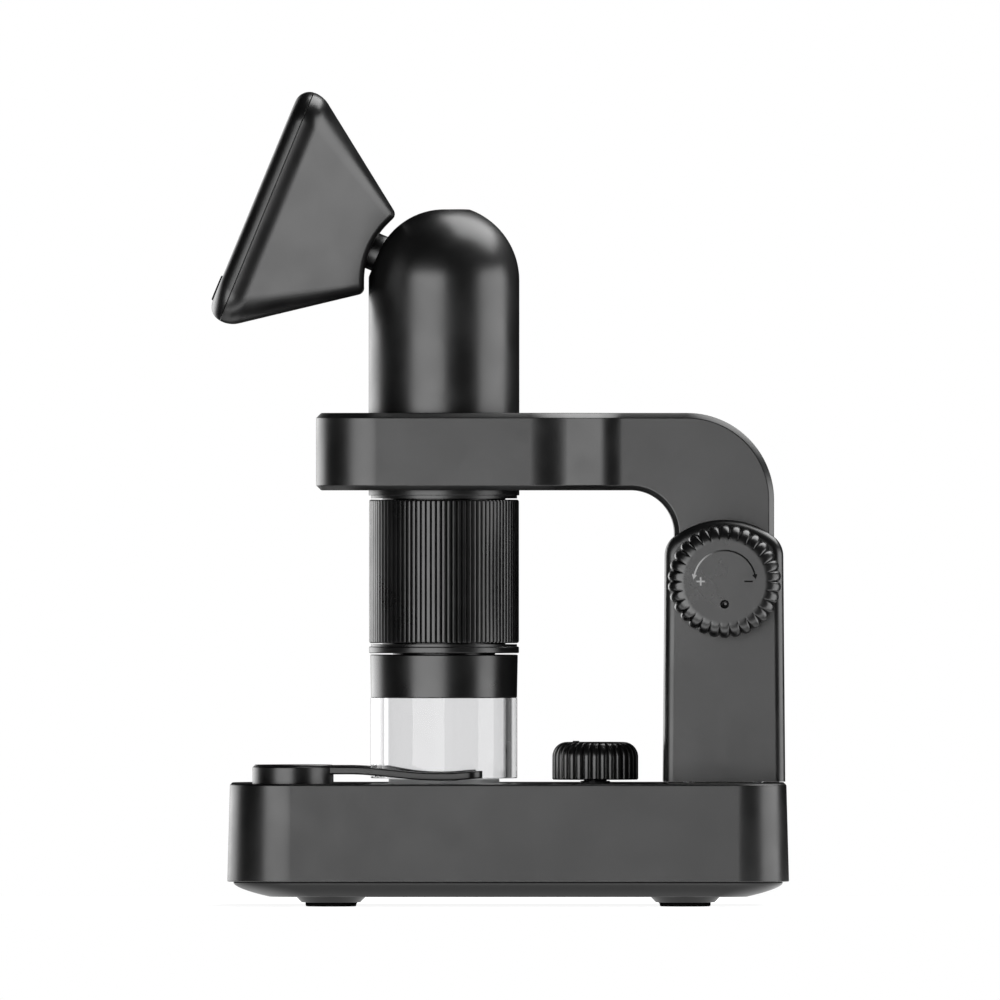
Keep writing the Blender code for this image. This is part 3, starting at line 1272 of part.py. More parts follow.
def make_bezel(axis):
    """Front frame round the display, with the three button holes."""
    seam = HEAD_SEAM + GAP
    rings = [head_ring(distance) for distance in front_edge_distances(seam, 3)]
    bezel = carry(loft("head_bezel", rings, "satin_black"), axis)
    recess = centred_outline(GLASS_WIDTH + 2 * GAP, GLASS_HEIGHT + 2 * GAP, GLASS_CORNER)
    window = centred_outline(GLASS_WIDTH - 2 * GLASS_LEDGE, GLASS_HEIGHT - 2 * GLASS_LEDGE,
                             GLASS_CORNER)
    pocket = centred_outline(GLASS_WIDTH + 2 * PANEL_MARGIN + 2 * GAP,
                             GLASS_HEIGHT + 2 * PANEL_MARGIN + 2 * GAP, GLASS_CORNER)
    recess_floor = HEAD_FRONT - GLASS_THICKNESS - GAP
    front = HEAD_FRONT + OVERCUT
    cut(bezel, carry(prism("glass_recess", shifted(recess, GLASS_RISE), recess_floor, front), axis))
    cut(bezel, carry(prism("window", shifted(window, GLASS_RISE), HEAD_SEAM, front), axis))
    cut(bezel, carry(prism("panel_pocket", shifted(pocket, GLASS_RISE), HEAD_SEAM,
                           seam + PANEL_POCKET), axis))
    for x in button_places():
        hole = headed_rod("button_hole", BUTTON_RADIUS + GAP, BUTTON_RADIUS + BUTTON_SKIRT + GAP,
                          HEAD_SEAM, seam + BUTTON_SKIRT + GAP, front, steps=TINY_STEPS)
        cut(bezel, at(carry(hole, axis), x, -BUTTON_DROP))


def make_screen(axis):
    """Cover glass, display panel and the board behind them."""
    glass = shifted(centred_outline(GLASS_WIDTH, GLASS_HEIGHT, GLASS_CORNER), GLASS_RISE)
    carry(prism("display_glass", glass, HEAD_FRONT - GLASS_THICKNESS, HEAD_FRONT,
                "screen_glass"), axis)
    width = GLASS_WIDTH + 2 * PANEL_MARGIN
    height = GLASS_HEIGHT + 2 * PANEL_MARGIN
    panel_front = HEAD_SEAM + PANEL_POCKET
    panel = shifted(centred_outline(width, height, GLASS_CORNER), GLASS_RISE)
    panel_back = panel_front - PANEL_THICKNESS
    carry(prism("display_panel", panel, panel_back, panel_front, "screen_panel"), axis)
    half = HEAD_BOARD_HALF
    board = centred_outline(2 * half, 2 * half, GLASS_CORNER)
    board_front = panel_back - GAP
    carry(prism("head_board", board, board_front - HEAD_BOARD_THICKNESS, board_front,
                "circuit_board"), axis)
    return board_front


def make_buttons(board_front):
    """Three round push buttons below the display, each on its own axis."""
    turn = head_turn()
    foot = board_front + BUTTON_TRAVEL + GAP
    skirt_top = HEAD_SEAM + GAP + BUTTON_SKIRT
    tip = HEAD_FRONT + BUTTON_PROUD
    edge = BUTTON_RADIUS - GAP
    for number, x in enumerate(button_places(), 1):
        place = Vector((TUBE_X, 0, DOME_Z)) + turn @ Vector((x, -BUTTON_DROP, 0))
        axis = add_axis(f"button_axis_{number}", place, turn)
        wide = BUTTON_RADIUS + BUTTON_SKIRT
        profile = [(0, tip), (edge, tip), (BUTTON_RADIUS, tip - GAP)]
        profile += [(BUTTON_RADIUS, skirt_top), (wide, skirt_top)]
        profile += [(wide, skirt_top - BUTTON_SKIRT), (edge / 2, skirt_top - BUTTON_SKIRT)]
        profile += [(edge / 2, foot), (0, foot)]
        carry(turned(f"screen_button_{number}", profile, "rubber", TINY_STEPS), axis)


def head_turn():
    """Rotation that points local Z out of the screen and local Y up its face."""
    tilt = math.radians(TILT_REST)
    out = Vector((-math.cos(tilt), 0, math.sin(tilt)))
    up = Vector((math.sin(tilt), 0, math.cos(tilt)))
    side = up.cross(out)
    return Matrix((side, up, out)).transposed()


def build_base():
    make_base_shell()
    make_bottom_cover()
    make_feet()
    make_base_screws()
    make_battery_compartment()
    make_stage()
    make_dimmer()
    make_clip("stage_clip_near", -1)
    make_clip("stage_clip_far", 1)


def build_stand():
    make_column()
    make_arm()
    make_focus_drive()


def build_microscope():
    tube_axis = add_axis("tube_axis", (TUBE_X, 0, 0))
    tilt_axis = add_axis("tilt_axis", (TUBE_X, 0, DOME_Z), head_turn())
    make_tube(tube_axis)
    make_barrel(tube_axis)
    make_focus_ring(tube_axis)
    make_lens(tube_axis)
    make_nose(tube_axis)
    make_tube_inside(tube_axis)
    make_tilt_ball(tilt_axis)
    make_head_shell(tilt_axis)
    make_bezel(tilt_axis)
    make_buttons(make_screen(tilt_axis))


def main():
    clear_scene()
    add_materials()
    build_base()
    build_stand()
    build_microscope()
    bpy.context.view_layer.update()


main()
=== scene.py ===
"""Looks of the digital pocket microscope: detailed pieces, finishes, floor, light and camera.

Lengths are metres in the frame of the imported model. The near side, which the camera sees, is -Y.
"""

import json
from math import asin, atan2, cos, degrees, hypot, pi, radians, sin, sqrt, tan

import bmesh
import bpy
from mathutils import Matrix, Vector

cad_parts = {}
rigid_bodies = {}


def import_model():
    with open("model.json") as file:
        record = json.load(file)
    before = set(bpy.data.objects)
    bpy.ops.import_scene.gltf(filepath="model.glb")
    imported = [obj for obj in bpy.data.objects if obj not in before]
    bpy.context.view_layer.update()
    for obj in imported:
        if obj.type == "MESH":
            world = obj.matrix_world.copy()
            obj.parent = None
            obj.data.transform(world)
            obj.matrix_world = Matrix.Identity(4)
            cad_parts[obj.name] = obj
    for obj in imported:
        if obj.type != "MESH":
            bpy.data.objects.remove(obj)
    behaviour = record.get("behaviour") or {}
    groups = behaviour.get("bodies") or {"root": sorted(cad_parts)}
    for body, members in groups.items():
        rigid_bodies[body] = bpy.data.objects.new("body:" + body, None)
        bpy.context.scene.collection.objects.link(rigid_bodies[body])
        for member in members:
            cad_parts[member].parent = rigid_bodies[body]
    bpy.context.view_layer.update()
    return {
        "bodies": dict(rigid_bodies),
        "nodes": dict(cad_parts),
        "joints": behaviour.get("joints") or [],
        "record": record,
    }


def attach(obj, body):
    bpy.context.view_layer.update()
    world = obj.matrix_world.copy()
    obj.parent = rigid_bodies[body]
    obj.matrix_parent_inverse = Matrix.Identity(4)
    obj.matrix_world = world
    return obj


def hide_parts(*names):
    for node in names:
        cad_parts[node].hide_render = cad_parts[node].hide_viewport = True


# Fits that the pieces keep
GAP = 0.0003
CLOSE = 0.00005
RUN = 0.0004
WALL = 0.0024
OVERCUT = 0.0010
SOFT_EDGE = 0.0002
TINY = 0.0000001

# Base housing
BASE_LENGTH = 0.1456
BASE_WIDTH = 0.0840
BASE_MIDDLE_X = 0.0021
BASE_RIM_Z = 0.0064
BASE_TOP_Z = 0.0317
BASE_DRAFT = 0.00065
BASE_EDGE = 0.0005
BASE_LEFT_CORNER = 0.0166
BASE_RIGHT_CORNER = 0.0133

# Bottom cover, feet and screws
COVER_BOTTOM_Z = 0.0025
COVER_TOP_Z = BASE_RIM_Z - GAP
COVER_TUCK = 0.0016
COVER_SWEEP = 0.0094
COVER_SIDE_SWEEP = 0.0032
COVER_CURVE = 1.7
FOOT_REACH_X = 0.0459
FOOT_REACH_Y = 0.0280
FOOT_RADIUS = 0.0066
FOOT_EDGE = 0.0004
FOOT_DISH = 0.0042
FOOT_BOSS_RADIUS = 0.0082
FOOT_BOSS_DRAFT = 0.0006
FOOT_BOSS_FLARE = 0.0008
FOOT_PROUD = 0.00104
FOOT_SEAT = 0.0010
SCREW_TURN = 25
SCREW_TURN_STEP = 40
SCREW_RADIUS = 0.0015
SCREW_HEAD_RADIUS = 0.0031
SCREW_HEAD = 0.0013
SCREW_EDGE = 0.0006
SCREW_REACH_X = 0.0501
SCREW_REACH_Y = 0.0140
SCREW_SINK = 0.0003
SCREW_LENGTH = 0.0100
CROSS_REACH = 0.62 * SCREW_HEAD_RADIUS
CROSS_HALF = 0.00042
CROSS_DEPTH = 0.0009

# Battery door
DOOR_X = 0.0050
DOOR_LENGTH = 0.0531
DOOR_WIDTH = 0.0415
DOOR_CORNER = 0.0025
DOOR_LEDGE = 0.0022
DOOR_THICKNESS = 0.0017
DOOR_MARK_DEPTH = 0.0004
GRIP_COUNT = 5
GRIP_REACH = 0.00435
GRIP_PITCH = 0.0016
GRIP_WIDTH = 0.0007
GRIP_HALF = 0.0080
ARROW_TIP = 0.0145
ARROW_BACK = 0.0180
ARROW_HALF = 0.0030

# Stage
TUBE_X = -0.01456
STAGE_GLASS_RADIUS = 0.0144
STAGE_GLASS_PROUD = 0.0013
STAGE_GLASS_SEAT = 0.0014
STAGE_LEDGE = 0.0021

# Dimmer
DIMMER_X = 0.02475
DIMMER_RADIUS = 0.01125
DIMMER_BOTTOM_Z = BASE_TOP_Z + 0.0009
DIMMER_HEIGHT = 0.0098
DIMMER_SHOULDER = 0.0039
DIMMER_LOBE_DEPTH = 0.0007
DIMMER_NECK_RADIUS = 0.00385
DIMMER_SHAFT_RADIUS = 0.0030
DIMMER_DOT_RADIUS = 0.0009
DIMMER_DOT_REACH = 0.0050
DOT_HEIGHT = 0.0003

# Stage clips
CLIP_X = -0.0538
CLIP_Y = 0.0265
CLIP_PUCK_RADIUS = 0.0104
CLIP_PUCK_EDGE = 0.0005
CLIP_TOP_Z = 0.0363
CLIP_REACH = 0.04925
CLIP_WIDTH = 0.0074
CLIP_THICKNESS = 0.0020
CLIP_EDGE = 0.0004
CLIP_ROOT_DROP = 0.0001
CLIP_DIP = 0.0016
CLIP_DIP_FROM = 0.30
CLIP_DIP_OVER = 0.45
CLIP_TIP_RISE = 0.0005
CLIP_RISE_FROM = 0.82
CLIP_RISE_OVER = 0.18
CLIP_PAD_REACH = 0.0404
CLIP_PAD_RADIUS = 0.0029
CLIP_PAD_Z = 0.03255
CLIP_POST_RADIUS = 0.0030

# Microscope stack
TUBE_RADIUS = 0.0196
TUBE_WALL = 0.0018
HOOD_BOTTOM_Z = 0.0330
COLLAR_BOTTOM_Z = 0.05395
COLLAR_TOP_Z = 0.0651
FLANGE_BOTTOM_Z = 0.0655
FLANGE_TOP_Z = 0.0672
RING_BOTTOM_Z = 0.0681
RING_TOP_Z = 0.1054
TUBE_END_Z = 0.1057
TUBE_SHOULDER_Z = 0.1065
DOME_Z = 0.1624
BARREL_TOP_Z = 0.1117
RING_RADIUS = 0.0195
RING_EDGE = 0.0005
GROOVE_RADIUS = 0.0190
COLLAR_RADIUS = 0.0192
COLLAR_DRAFT = 0.0002
COLLAR_WALL = 0.0015
COLLAR_CEILING = 0.0025
HOOD_RADIUS = 0.01905
HOOD_WALL = 0.0029
HOOD_SPIGOT_WALL = 0.0012
HOOD_SPIGOT = 0.0040
HOOD_CHAMFER = 0.0005
NECK_RADIUS = 0.0133
NECK_WALL = 0.0013
FOCUS_RIBS = 90
FOCUS_RIB_DEPTH = 0.0006
FOCUS_RIB_END = 0.0001
FOCUS_BARREL_RADIUS = 0.0160
LED_RING_THICKNESS = 0.0018
LED_COUNT = 8
LED_HALF_X = 0.0009
LED_HALF_Y = 0.0012
LED_PROUD = 0.0009
LED_SINK = 0.0002
LED_EDGE = 0.00015
LENS_CARRIER_HIGH = COLLAR_TOP_Z + 0.0140
LENS_CARRIER_LOW = LENS_CARRIER_HIGH - 0.0200
LENS_CARRIER_WALL = 0.0030
LENS_THICKNESS = 0.0040
LENS_CROWN = 0.0016
LENS_LIP_EDGE = 0.0004

# Tilt joint and screen head
TILT_REST = 22.5
SLOT_HALF_WIDTH = 0.0067
BALL_RADIUS = 0.0172
BALL_HALF_WIDTH = 0.0090
BALL_BACK = 0.0040
STALK_RADIUS = 0.0049
PIVOT_RADIUS = 0.0020
HEAD_FRONT = 0.0533
HEAD_SEAM = 0.0496
HEAD_HALF = 0.0320
HEAD_SEAM_WIDTH = 0.00014
HEAD_EDGE = 0.0040
HEAD_WIDEST = HEAD_FRONT - HEAD_EDGE
HEAD_REAR_EDGE = 0.0072
HEAD_HOLLOW_EDGE = 0.0016
HEAD_TAPER = 35.8
HEAD_BACK = 0.0178
HEAD_BACK_RADIUS = 0.0208
HEAD_CORNER = 0.0083
HEAD_BACK_CORNER = 0.0030
HEAD_WALL = 0.0022
HEAD_FLOOR = 0.0245
HEAD_NUT_THICKNESS = 0.0020
GLASS_WIDTH = 0.0510
GLASS_HEIGHT = 0.0410
GLASS_THICKNESS = 0.0012
GLASS_RISE = 0.0040
GLASS_CORNER = 0.0020
GLASS_LEDGE = 0.0012
PANEL_MARGIN = 0.0010
PANEL_POCKET = 0.0010
BUTTON_RADIUS = 0.0034
BUTTON_DROP = 0.0244
BUTTON_SPACING = 0.0120
BUTTON_PROUD = 0.00055
BUTTON_EDGE = 0.00025
BUTTON_SKIRT = 0.0006
BUTTON_FOOT_Z = 0.0488

# Column, arm and focus drive
COLUMN_X = 0.0582
POST_HALF_X = 0.01295
POST_HALF_Y = 0.0150
COLUMN_HALF_X = 0.01535
COLUMN_HALF_Y = 0.0178
COLUMN_DRAFT = 0.0005
COLUMN_BOTTOM_Z = 0.0322
COLUMN_TOP_Z = 0.1002
COLUMN_FOOT = 0.0078
COLUMN_CORNER = 0.0065
COLUMN_ARCH_RISE = 0.0066
COLUMN_EDGE = 0.0026
BEARING_RADIUS = 0.0043
SHAFT_Z = 0.0842
SHAFT_RADIUS = 0.0025
POST_BOTTOM_Z = 0.0403
ARM_BOTTOM_Z = 0.1078
ARM_TOP_Z = 0.1279
ARM_REACH = 0.03324
ARM_FLAT = 0.02236
ARM_CORNER = 0.0159
ARM_HALF_WIDTH = 0.0250
ARM_SWELL_OUT = 0.0188
ARM_SWELL_IN = 0.0108
ARM_SWELL_TURN = 33.7
ARM_OUTER_BEND = 0.0226
ARM_INNER_BEND = 0.0112
ARM_EDGE = 0.0015
ARM_EASE = 0.00015
ARM_JOIN_X = 0.0330
ARM_BORE = 0.0215
POST_CAVITY_HALF = 0.0096
POST_WALL_Y = 0.0024
POST_CEILING = 0.0050
LINER_BORE = 0.0199
LINER_RADIUS = 0.0212
LINER_INSET = 0.0004
FOCUS_TRAVEL = 0.0130
KNOB_RADIUS = 0.0147
KNOB_FACE_RADIUS = 0.0107
KNOB_LENGTH = 0.0110
KNOB_SHOULDER = 0.0036
KNOB_CHAMFER = 0.0006
KNOB_LOBES = 30
KNOB_LOBE_DEPTH = 0.0010
KNOB_LOBE_ROUND = 0.96
KNOB_LOBE_PINCH = 2.5
KNOB_SOCKET = 0.0080
KNOB_BACK = COLUMN_HALF_Y + GAP + 0.0009 + RUN
KNOB_DOT_RADIUS = 0.00115
KNOB_DOT_DROP = 0.0059
KNOB_MARK_RADIUS = 0.0080
KNOB_MARK_SPAN = 77
KNOB_MARK_WIDTH = 0.00042
KNOB_MARK_SLOPE = 0.13
KNOB_MARK_HEIGHT = 0.00018
KNOB_ARROW_LENGTH = 0.0013
KNOB_ARROW_HALF = 0.0007
KNOB_SIGN_REACH = 0.0062
KNOB_SIGN_HALF = 0.0011

# Light and view
NOISE_RANGE = (0.35, 0.65)
WHITE = (1, 1, 1, 1)
FLOOR_HALF = 0.17
LAMP_DISTANCE = 8.0
LAMP_AIM_Z = 0.105
CAMERA_LENS = 1200
CAMERA_SENSOR = 36
CAMERA_FIELD = 0.260
CAMERA_Z = 0.1053

FINISH = {}


def polar(radius, angle, x=0.0, y=0.0):
    """The point at a radius and an angle, in radians, about a centre."""
    return x + radius * cos(angle), y + radius * sin(angle)


def arc(centre_x, centre_y, radius, start, end, steps):
    """Points along an arc, in degrees from the first axis."""
    turns = [radians(start + (end - start) * index / steps) for index in range(steps + 1)]
    return [polar(radius, turn, centre_x, centre_y) for turn in turns]


def eased(points, closed=False, steps=4):
    """Round the corners of a path. A point may carry its radius as a third number."""
    made = []
    last = len(points) - 1
    for index, point in enumerate(points):
        radius = point[2] if len(point) > 2 else 0.0
        here = Vector(point[:2])
        if radius <= 0 or (not closed and index in (0, last)):
            made.append((here.x, here.y))
            continue
        before = (Vector(points[index - 1][:2]) - here).normalized()
        after = (Vector(points[(index + 1) % len(points)][:2]) - here).normalized()
        half = before.angle(after) / 2
        centre = here + (before + after).normalized() * radius / sin(half)
        first = here + before * radius / tan(half) - centre
        final = here + after * radius / tan(half) - centre
        start = atan2(first.y, first.x)
        turn = atan2(final.y, final.x) - start
        turn = (turn + pi) % (2 * pi) - pi
        for step in range(steps + 1):
            made.append(polar(radius, start + turn * step / steps, centre.x, centre.y))
    return made


def rounded_outline(left, right, half, left_radius, right_radius, steps=12):
    """A rectangle about the X axis with its own corner radius at each end."""
    points = arc(right - right_radius, half - right_radius, right_radius, 0, 90, steps)
    points += arc(left + left_radius, half - left_radius, left_radius, 90, 180, steps)
    points += arc(left + left_radius, left_radius - half, left_radius, 180, 270, steps)
    points += arc(right - right_radius, right_radius - half, right_radius, 270, 360, steps)
    return points


def centred_outline(length, width, corner, x=0.0, y=0.0, margin=0.0):
    """A rounded rectangle about a point, grown by a margin."""
    reach = (length + 2 * margin) / 2
    half = (width + 2 * margin) / 2
    return [(px, py + y) for px, py in rounded_outline(x - reach, x + reach, half, corner, corner, 8)]


def raise_to(outline, height):
    return [(x, y, height) for x, y in outline]


def bridge(work, lower, upper, around=True):
    """Faces between two rows of points. A row may be a single point."""
    count = max(len(lower), len(upper))
    for index in range(count if around else count - 1):
        follower = (index + 1) % count
        corners = [lower[index % len(lower)], lower[follower % len(lower)],
                   upper[follower % len(upper)], upper[index % len(upper)]]
        unique = list(dict.fromkeys(corners))
        if len(unique) > 2:
            work.faces.new(unique)


def put_in_scene(name, data):
    piece = bpy.data.objects.new(name, data)
    bpy.context.scene.collection.objects.link(piece)
    return piece


def object_from(name, work):
    """Close a bmesh into an object with its faces pointing out."""
    bmesh.ops.recalc_face_normals(work, faces=work.faces)
    data = bpy.data.meshes.new(name)
    work.to_mesh(data)
    work.free()
    return put_in_scene(name, data)


def skin(name, rings):
    """Skin a stack of rings that have the same number of points, and close its ends."""
    work = bmesh.new()
    levels = [[work.verts.new(point) for point in ring] for ring in rings]
    for lower, upper in zip(levels, levels[1:]):
        bridge(work, lower, upper)
    work.faces.new(levels[0])
    work.faces.new(levels[-1])
    return object_from(name, work)


def prism(name, outline, low, high):
    """Extrude a flat outline along Z."""
    return skin(name, [raise_to(outline, low), raise_to(outline, high)])


def box(name, x, half_x, half_y, low, high):
    """A block about a place on the X axis, from one height to another."""
    left, right = x - half_x, x + half_x
    outline = [(left, -half_y), (right, -half_y), (right, half_y), (left, half_y)]
    return prism(name, outline, low, high)


def turned(name, profile, steps=96, closed=False):
    """Turn a profile of radius and height about Z. It ends on the axis, or it is a loop."""
    if any(len(point) > 2 for point in profile):
        profile = eased(profile, closed)
    work = bmesh.new()
    levels = []
    turns = [2 * pi * index / steps for index in range(steps)]
    for radius, height in profile:
        if radius < TINY:
            levels.append([work.verts.new((0, 0, height))])
        else:
            levels.append([work.verts.new((*polar(radius, turn), height)) for turn in turns])
    for lower, upper in zip(levels, levels[1:]):
        bridge(work, lower, upper)
    if closed:
        bridge(work, levels[-1], levels[0])
    return object_from(name, work)


def rod(name, radius, low, high, steps=48):
    return turned(name, [(0, high), (radius, high), (radius, low), (0, low)], steps)


def moved(piece, matrix):
    """Set a piece's points down through a matrix, so that the object stays at the origin."""
    piece.data.transform(matrix)
    return piece


def at(piece, x=0.0, y=0.0, z=0.0):
    return moved(piece, Matrix.Translation((x, y, z)))


def stand_up(piece):
    """Turn a piece drawn along Z to lie along Y, with its own Y pointing up."""
    return moved(piece, Matrix.Rotation(pi / 2, 4, "X"))


def settle(piece):
    """Apply the modifiers of a piece to its mesh."""
    bpy.context.view_layer.update()
    graph = bpy.context.evaluated_depsgraph_get()
    final = bpy.data.meshes.new_from_object(piece.evaluated_get(graph))
    piece.modifiers.clear()
    piece.data = final


def combine(piece, operation, *tools):
    """Run exact Booleans of a piece with its tools, and drop the tools."""
    for tool in tools:
        step = piece.modifiers.new(operation, "BOOLEAN")
        step.operation = operation
        step.solver = "EXACT"
        step.object = tool
    settle(piece)
    for tool in tools:
        bpy.data.objects.remove(tool, do_unlink=True)


def cut(piece, *tools):
    combine(piece, "DIFFERENCE", *tools)


def soften(piece, width):
    """Round the sharp edges of a piece."""
    bevel = piece.modifiers.new("Edge", "BEVEL")
    bevel.width = width
    bevel.segments = 2
    bevel.limit_method = "ANGLE"
    bevel.angle_limit = radians(40)
    settle(piece)


def show(piece, finish, body, *nodes, sharp=35, slot=None):
    """Give a piece its finish and smooth shading, and set it on its body."""
    piece.data.materials.clear()
    piece.data.materials.append(FINISH[finish])
    piece.data.shade_smooth()
    piece.data.set_sharp_from_angle(angle=radians(sharp))
    weigh = piece.modifiers.new("Normals", "WEIGHTED_NORMAL")
    weigh.keep_sharp = True
    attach(piece, body)
    if nodes:
        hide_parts(*nodes)


def new_material(name):
    """The shader of a new Principled finish."""
    made = bpy.data.materials.new(name)
    made.use_nodes = True
    FINISH[name] = made
    return made.node_tree.nodes["Principled BSDF"]


def feed(node, inputs):
    """Fill inputs of a node. A socket is linked, and any other value is set."""
    for place, value in inputs.items():
        if isinstance(value, bpy.types.NodeSocket):
            node.id_data.links.new(value, node.inputs[place])
        else:
            node.inputs[place].default_value = value
    return node


def add_node(near, kind, inputs=None):
    """A new node in the tree of a given node, socket or tree."""
    return feed(near.id_data.nodes.new("ShaderNode" + kind), inputs or {})


def calc(operation, first, *others):
    """One step of arithmetic on a socket and other sockets or numbers."""
    node = add_node(first, "Math")
    node.operation = operation
    return feed(node, dict(enumerate((first, *others)))).outputs[0]


def product(first, *others):
    for other in others:
        first = calc("MULTIPLY", first, other)
    return first


def mixed(factor, first, second, colour=False):
    """A mix of two numbers or of two colours."""
    node = add_node(factor, "Mix")
    node.data_type = "RGBA" if colour else "FLOAT"
    place = 6 if colour else 2
    feed(node, {0: factor, place: first, place + 1: second})
    return node.outputs[2 if colour else 0]


def parted(vector):
    """The X, Y and Z of a vector."""
    return add_node(vector, "SeparateXYZ", {0: vector}).outputs


def ranged(source, start, end, low, high, way="SMOOTHSTEP"):
    """Map a value from one range to another."""
    node = add_node(source, "MapRange")
    node.interpolation_type = way
    feed(node, {"Value": source, "From Min": start, "From Max": end, "To Min": low, "To Max": high})
    return node.outputs["Result"]


def spread(noise, middle, reach):
    """Map a noise to a range about a middle value."""
    return ranged(noise, *NOISE_RANGE, middle - reach, middle + reach, "LINEAR")


def noise_of(near, scale, detail=2.0, stretch=(1, 1, 1)):
    """A noise in object coordinates. The scale is in waves per metre."""
    place = add_node(near, "TexCoord").outputs["Object"]
    vector = add_node(near, "Mapping", {"Scale": stretch, "Vector": place}).outputs["Vector"]
    noise = add_node(near, "TexNoise", {"Scale": scale, "Detail": detail, "Vector": vector})
    return noise.outputs["Fac"]


def blend_colours(noise, *colours):
    """Mix two colours by a noise."""
    ramp = add_node(noise, "ValToRGB", {"Fac": noise})
    for stop, position, colour in zip(ramp.color_ramp.elements, NOISE_RANGE, colours):
        stop.position = position
        stop.color = (*colour, 1)
    return ramp.outputs["Color"]


def bump_of(noise, strength, distance):
    bump = add_node(noise, "Bump", {"Height": noise, "Strength": strength, "Distance": distance})
    return bump.outputs["Normal"]


def add_surface(name, dark, light, roughness, grain, grain_depth, metallic=0.0, ior=1.5,
                patches=90):
    """A finish whose colour and gloss vary in soft patches, over a fine grain."""
    shader = new_material(name)
    cloud = noise_of(shader, patches, 3.0)
    feed(shader, {
        "Metallic": metallic,
        "IOR": ior,
        "Base Color": blend_colours(cloud, dark, light),
        "Roughness": spread(cloud, roughness, 0.03),
        "Normal": bump_of(noise_of(shader, grain), 0.35, grain_depth)})
    return shader


def add_brushed(name, dark, light, roughness, stretch):
    """Turned or drawn metal with fine lines along one way."""
    shader = new_material(name)
    lines = noise_of(shader, 2600, 2.0, stretch)
    feed(shader, {
        "Metallic": 1.0,
        "Base Color": blend_colours(lines, dark, light),
        "Roughness": spread(lines, roughness, 0.06),
        "Normal": bump_of(lines, 0.25, 0.00001)})


def add_frosted_glass():
    """The stage disc: pale with a painted glow on its flat faces, and grey painted shade on its rim.
    """
    shader = add_surface("frosted_glass", (0.80, 0.81, 0.82), (0.86, 0.87, 0.88), 0.38,
                         2600, 0.000012)
    normal = add_node(shader, "NewGeometry").outputs["Normal"]
    # Painted light mask: full on the flat faces, none on the rim.
    painted_glow_and_shade_mask = calc("ABSOLUTE", parted(normal)["Z"])
    pale = shader.inputs["Base Color"].links[0].from_socket
    # Painted shade and glow: the rim is painted grey as shade, and the flat faces carry a painted
    # glow.
    feed(shader, {
        "Base Color": mixed(painted_glow_and_shade_mask, (0.28, 0.28, 0.28, 1), pale, colour=True),
        "Transmission Weight": 0.25,
        "Emission Color": WHITE,
        "Emission Strength": product(painted_glow_and_shade_mask, 0.28)})


def add_finishes():
    """Every finish by the name of its material slot."""
    for name, roughness, depth, ior in (("satin_black", 0.33, 0.000008, 1.52),
                                        ("knob_black", 0.30, 0.000008, 1.52),
                                        ("mark_black", 0.16, 0.000002, 1.72)):
        add_surface(name, (0.0022, 0.0022, 0.0023), (0.0030, 0.0030, 0.0031), roughness, 5200,
                    depth, ior=ior)
    add_surface("inner_black", (0.0050, 0.0050, 0.0053), (0.0070, 0.0070, 0.0073), 0.55, 3800,
                0.000020)
    shader = add_surface("rubber", (0.0060, 0.0060, 0.0060), (0.0090, 0.0090, 0.0090),
                         0.72, 3000, 0.000040)
    feed(shader, {"Specular IOR Level": 0.0})
    add_surface("circuit_board", (0.006, 0.060, 0.026), (0.010, 0.090, 0.038), 0.40, 1500,
                0.000015, patches=420)
    add_surface("white_resin", (0.74, 0.73, 0.68), (0.82, 0.81, 0.77), 0.32, 2500, 0.000008)
    add_surface("felt", (0.010, 0.010, 0.011), (0.022, 0.022, 0.024), 0.92, 2600, 0.000150,
                patches=900)
    add_surface("cell_wrap", (0.055, 0.060, 0.070), (0.075, 0.080, 0.092), 0.30, 1800, 0.000010)
    add_surface("battery_foil", (0.46, 0.47, 0.49), (0.56, 0.57, 0.59), 0.32, 900, 0.000060,
                metallic=1.0)
    add_surface("screen_panel", (0.012, 0.014, 0.018), (0.016, 0.019, 0.024), 0.28, 3000, 0.000004)
    add_brushed("steel", (0.44, 0.44, 0.45), (0.58, 0.58, 0.60), 0.28, (1, 1, 0.05))
    add_brushed("brass", (0.62, 0.44, 0.19), (0.76, 0.57, 0.28), 0.30, (1, 0.05, 1))
    add_brushed("bronze", (0.40, 0.26, 0.13), (0.54, 0.37, 0.20), 0.42, (1, 0.1, 1))
    add_frosted_glass()
    shader = new_material("clear_plastic")
    feed(shader, {
        "Base Color": (0.84, 0.84, 0.845, 1),
        "Transmission Weight": 1.0,
        "IOR": 1.49,
        "Specular Tint": (0.45, 0.45, 0.45, 1),
        "Roughness": spread(noise_of(shader, 60), 0.030, 0.012)})
    shader = new_material("screen_glass")
    feed(shader, {
        "Base Color": (0.004, 0.0045, 0.0055, 1),
        "Coat Weight": 0.5,
        "Coat Roughness": 0.02,
        "Roughness": spread(noise_of(shader, 40), 0.06, 0.02)})


def base_outline(inset, side_inset=None):
    """Plan of the base, drawn in by the given inset at its ends and at its long sides."""
    if side_inset is None:
        side_inset = inset
    reach = BASE_LENGTH / 2 - inset
    left_radius = max(BASE_LEFT_CORNER - side_inset, BASE_EDGE)
    right_radius = max(BASE_RIGHT_CORNER - side_inset, BASE_EDGE)
    return rounded_outline(BASE_MIDDLE_X - reach, BASE_MIDDLE_X + reach,
                           BASE_WIDTH / 2 - side_inset, left_radius, right_radius, 20)


def base_places(reach_x, reach_y):
    """The four places of a fitting under the base."""
    return [(BASE_MIDDLE_X + side_x * reach_x, side_y * reach_y)
            for side_x in (-1, 1) for side_y in (-1, 1)]


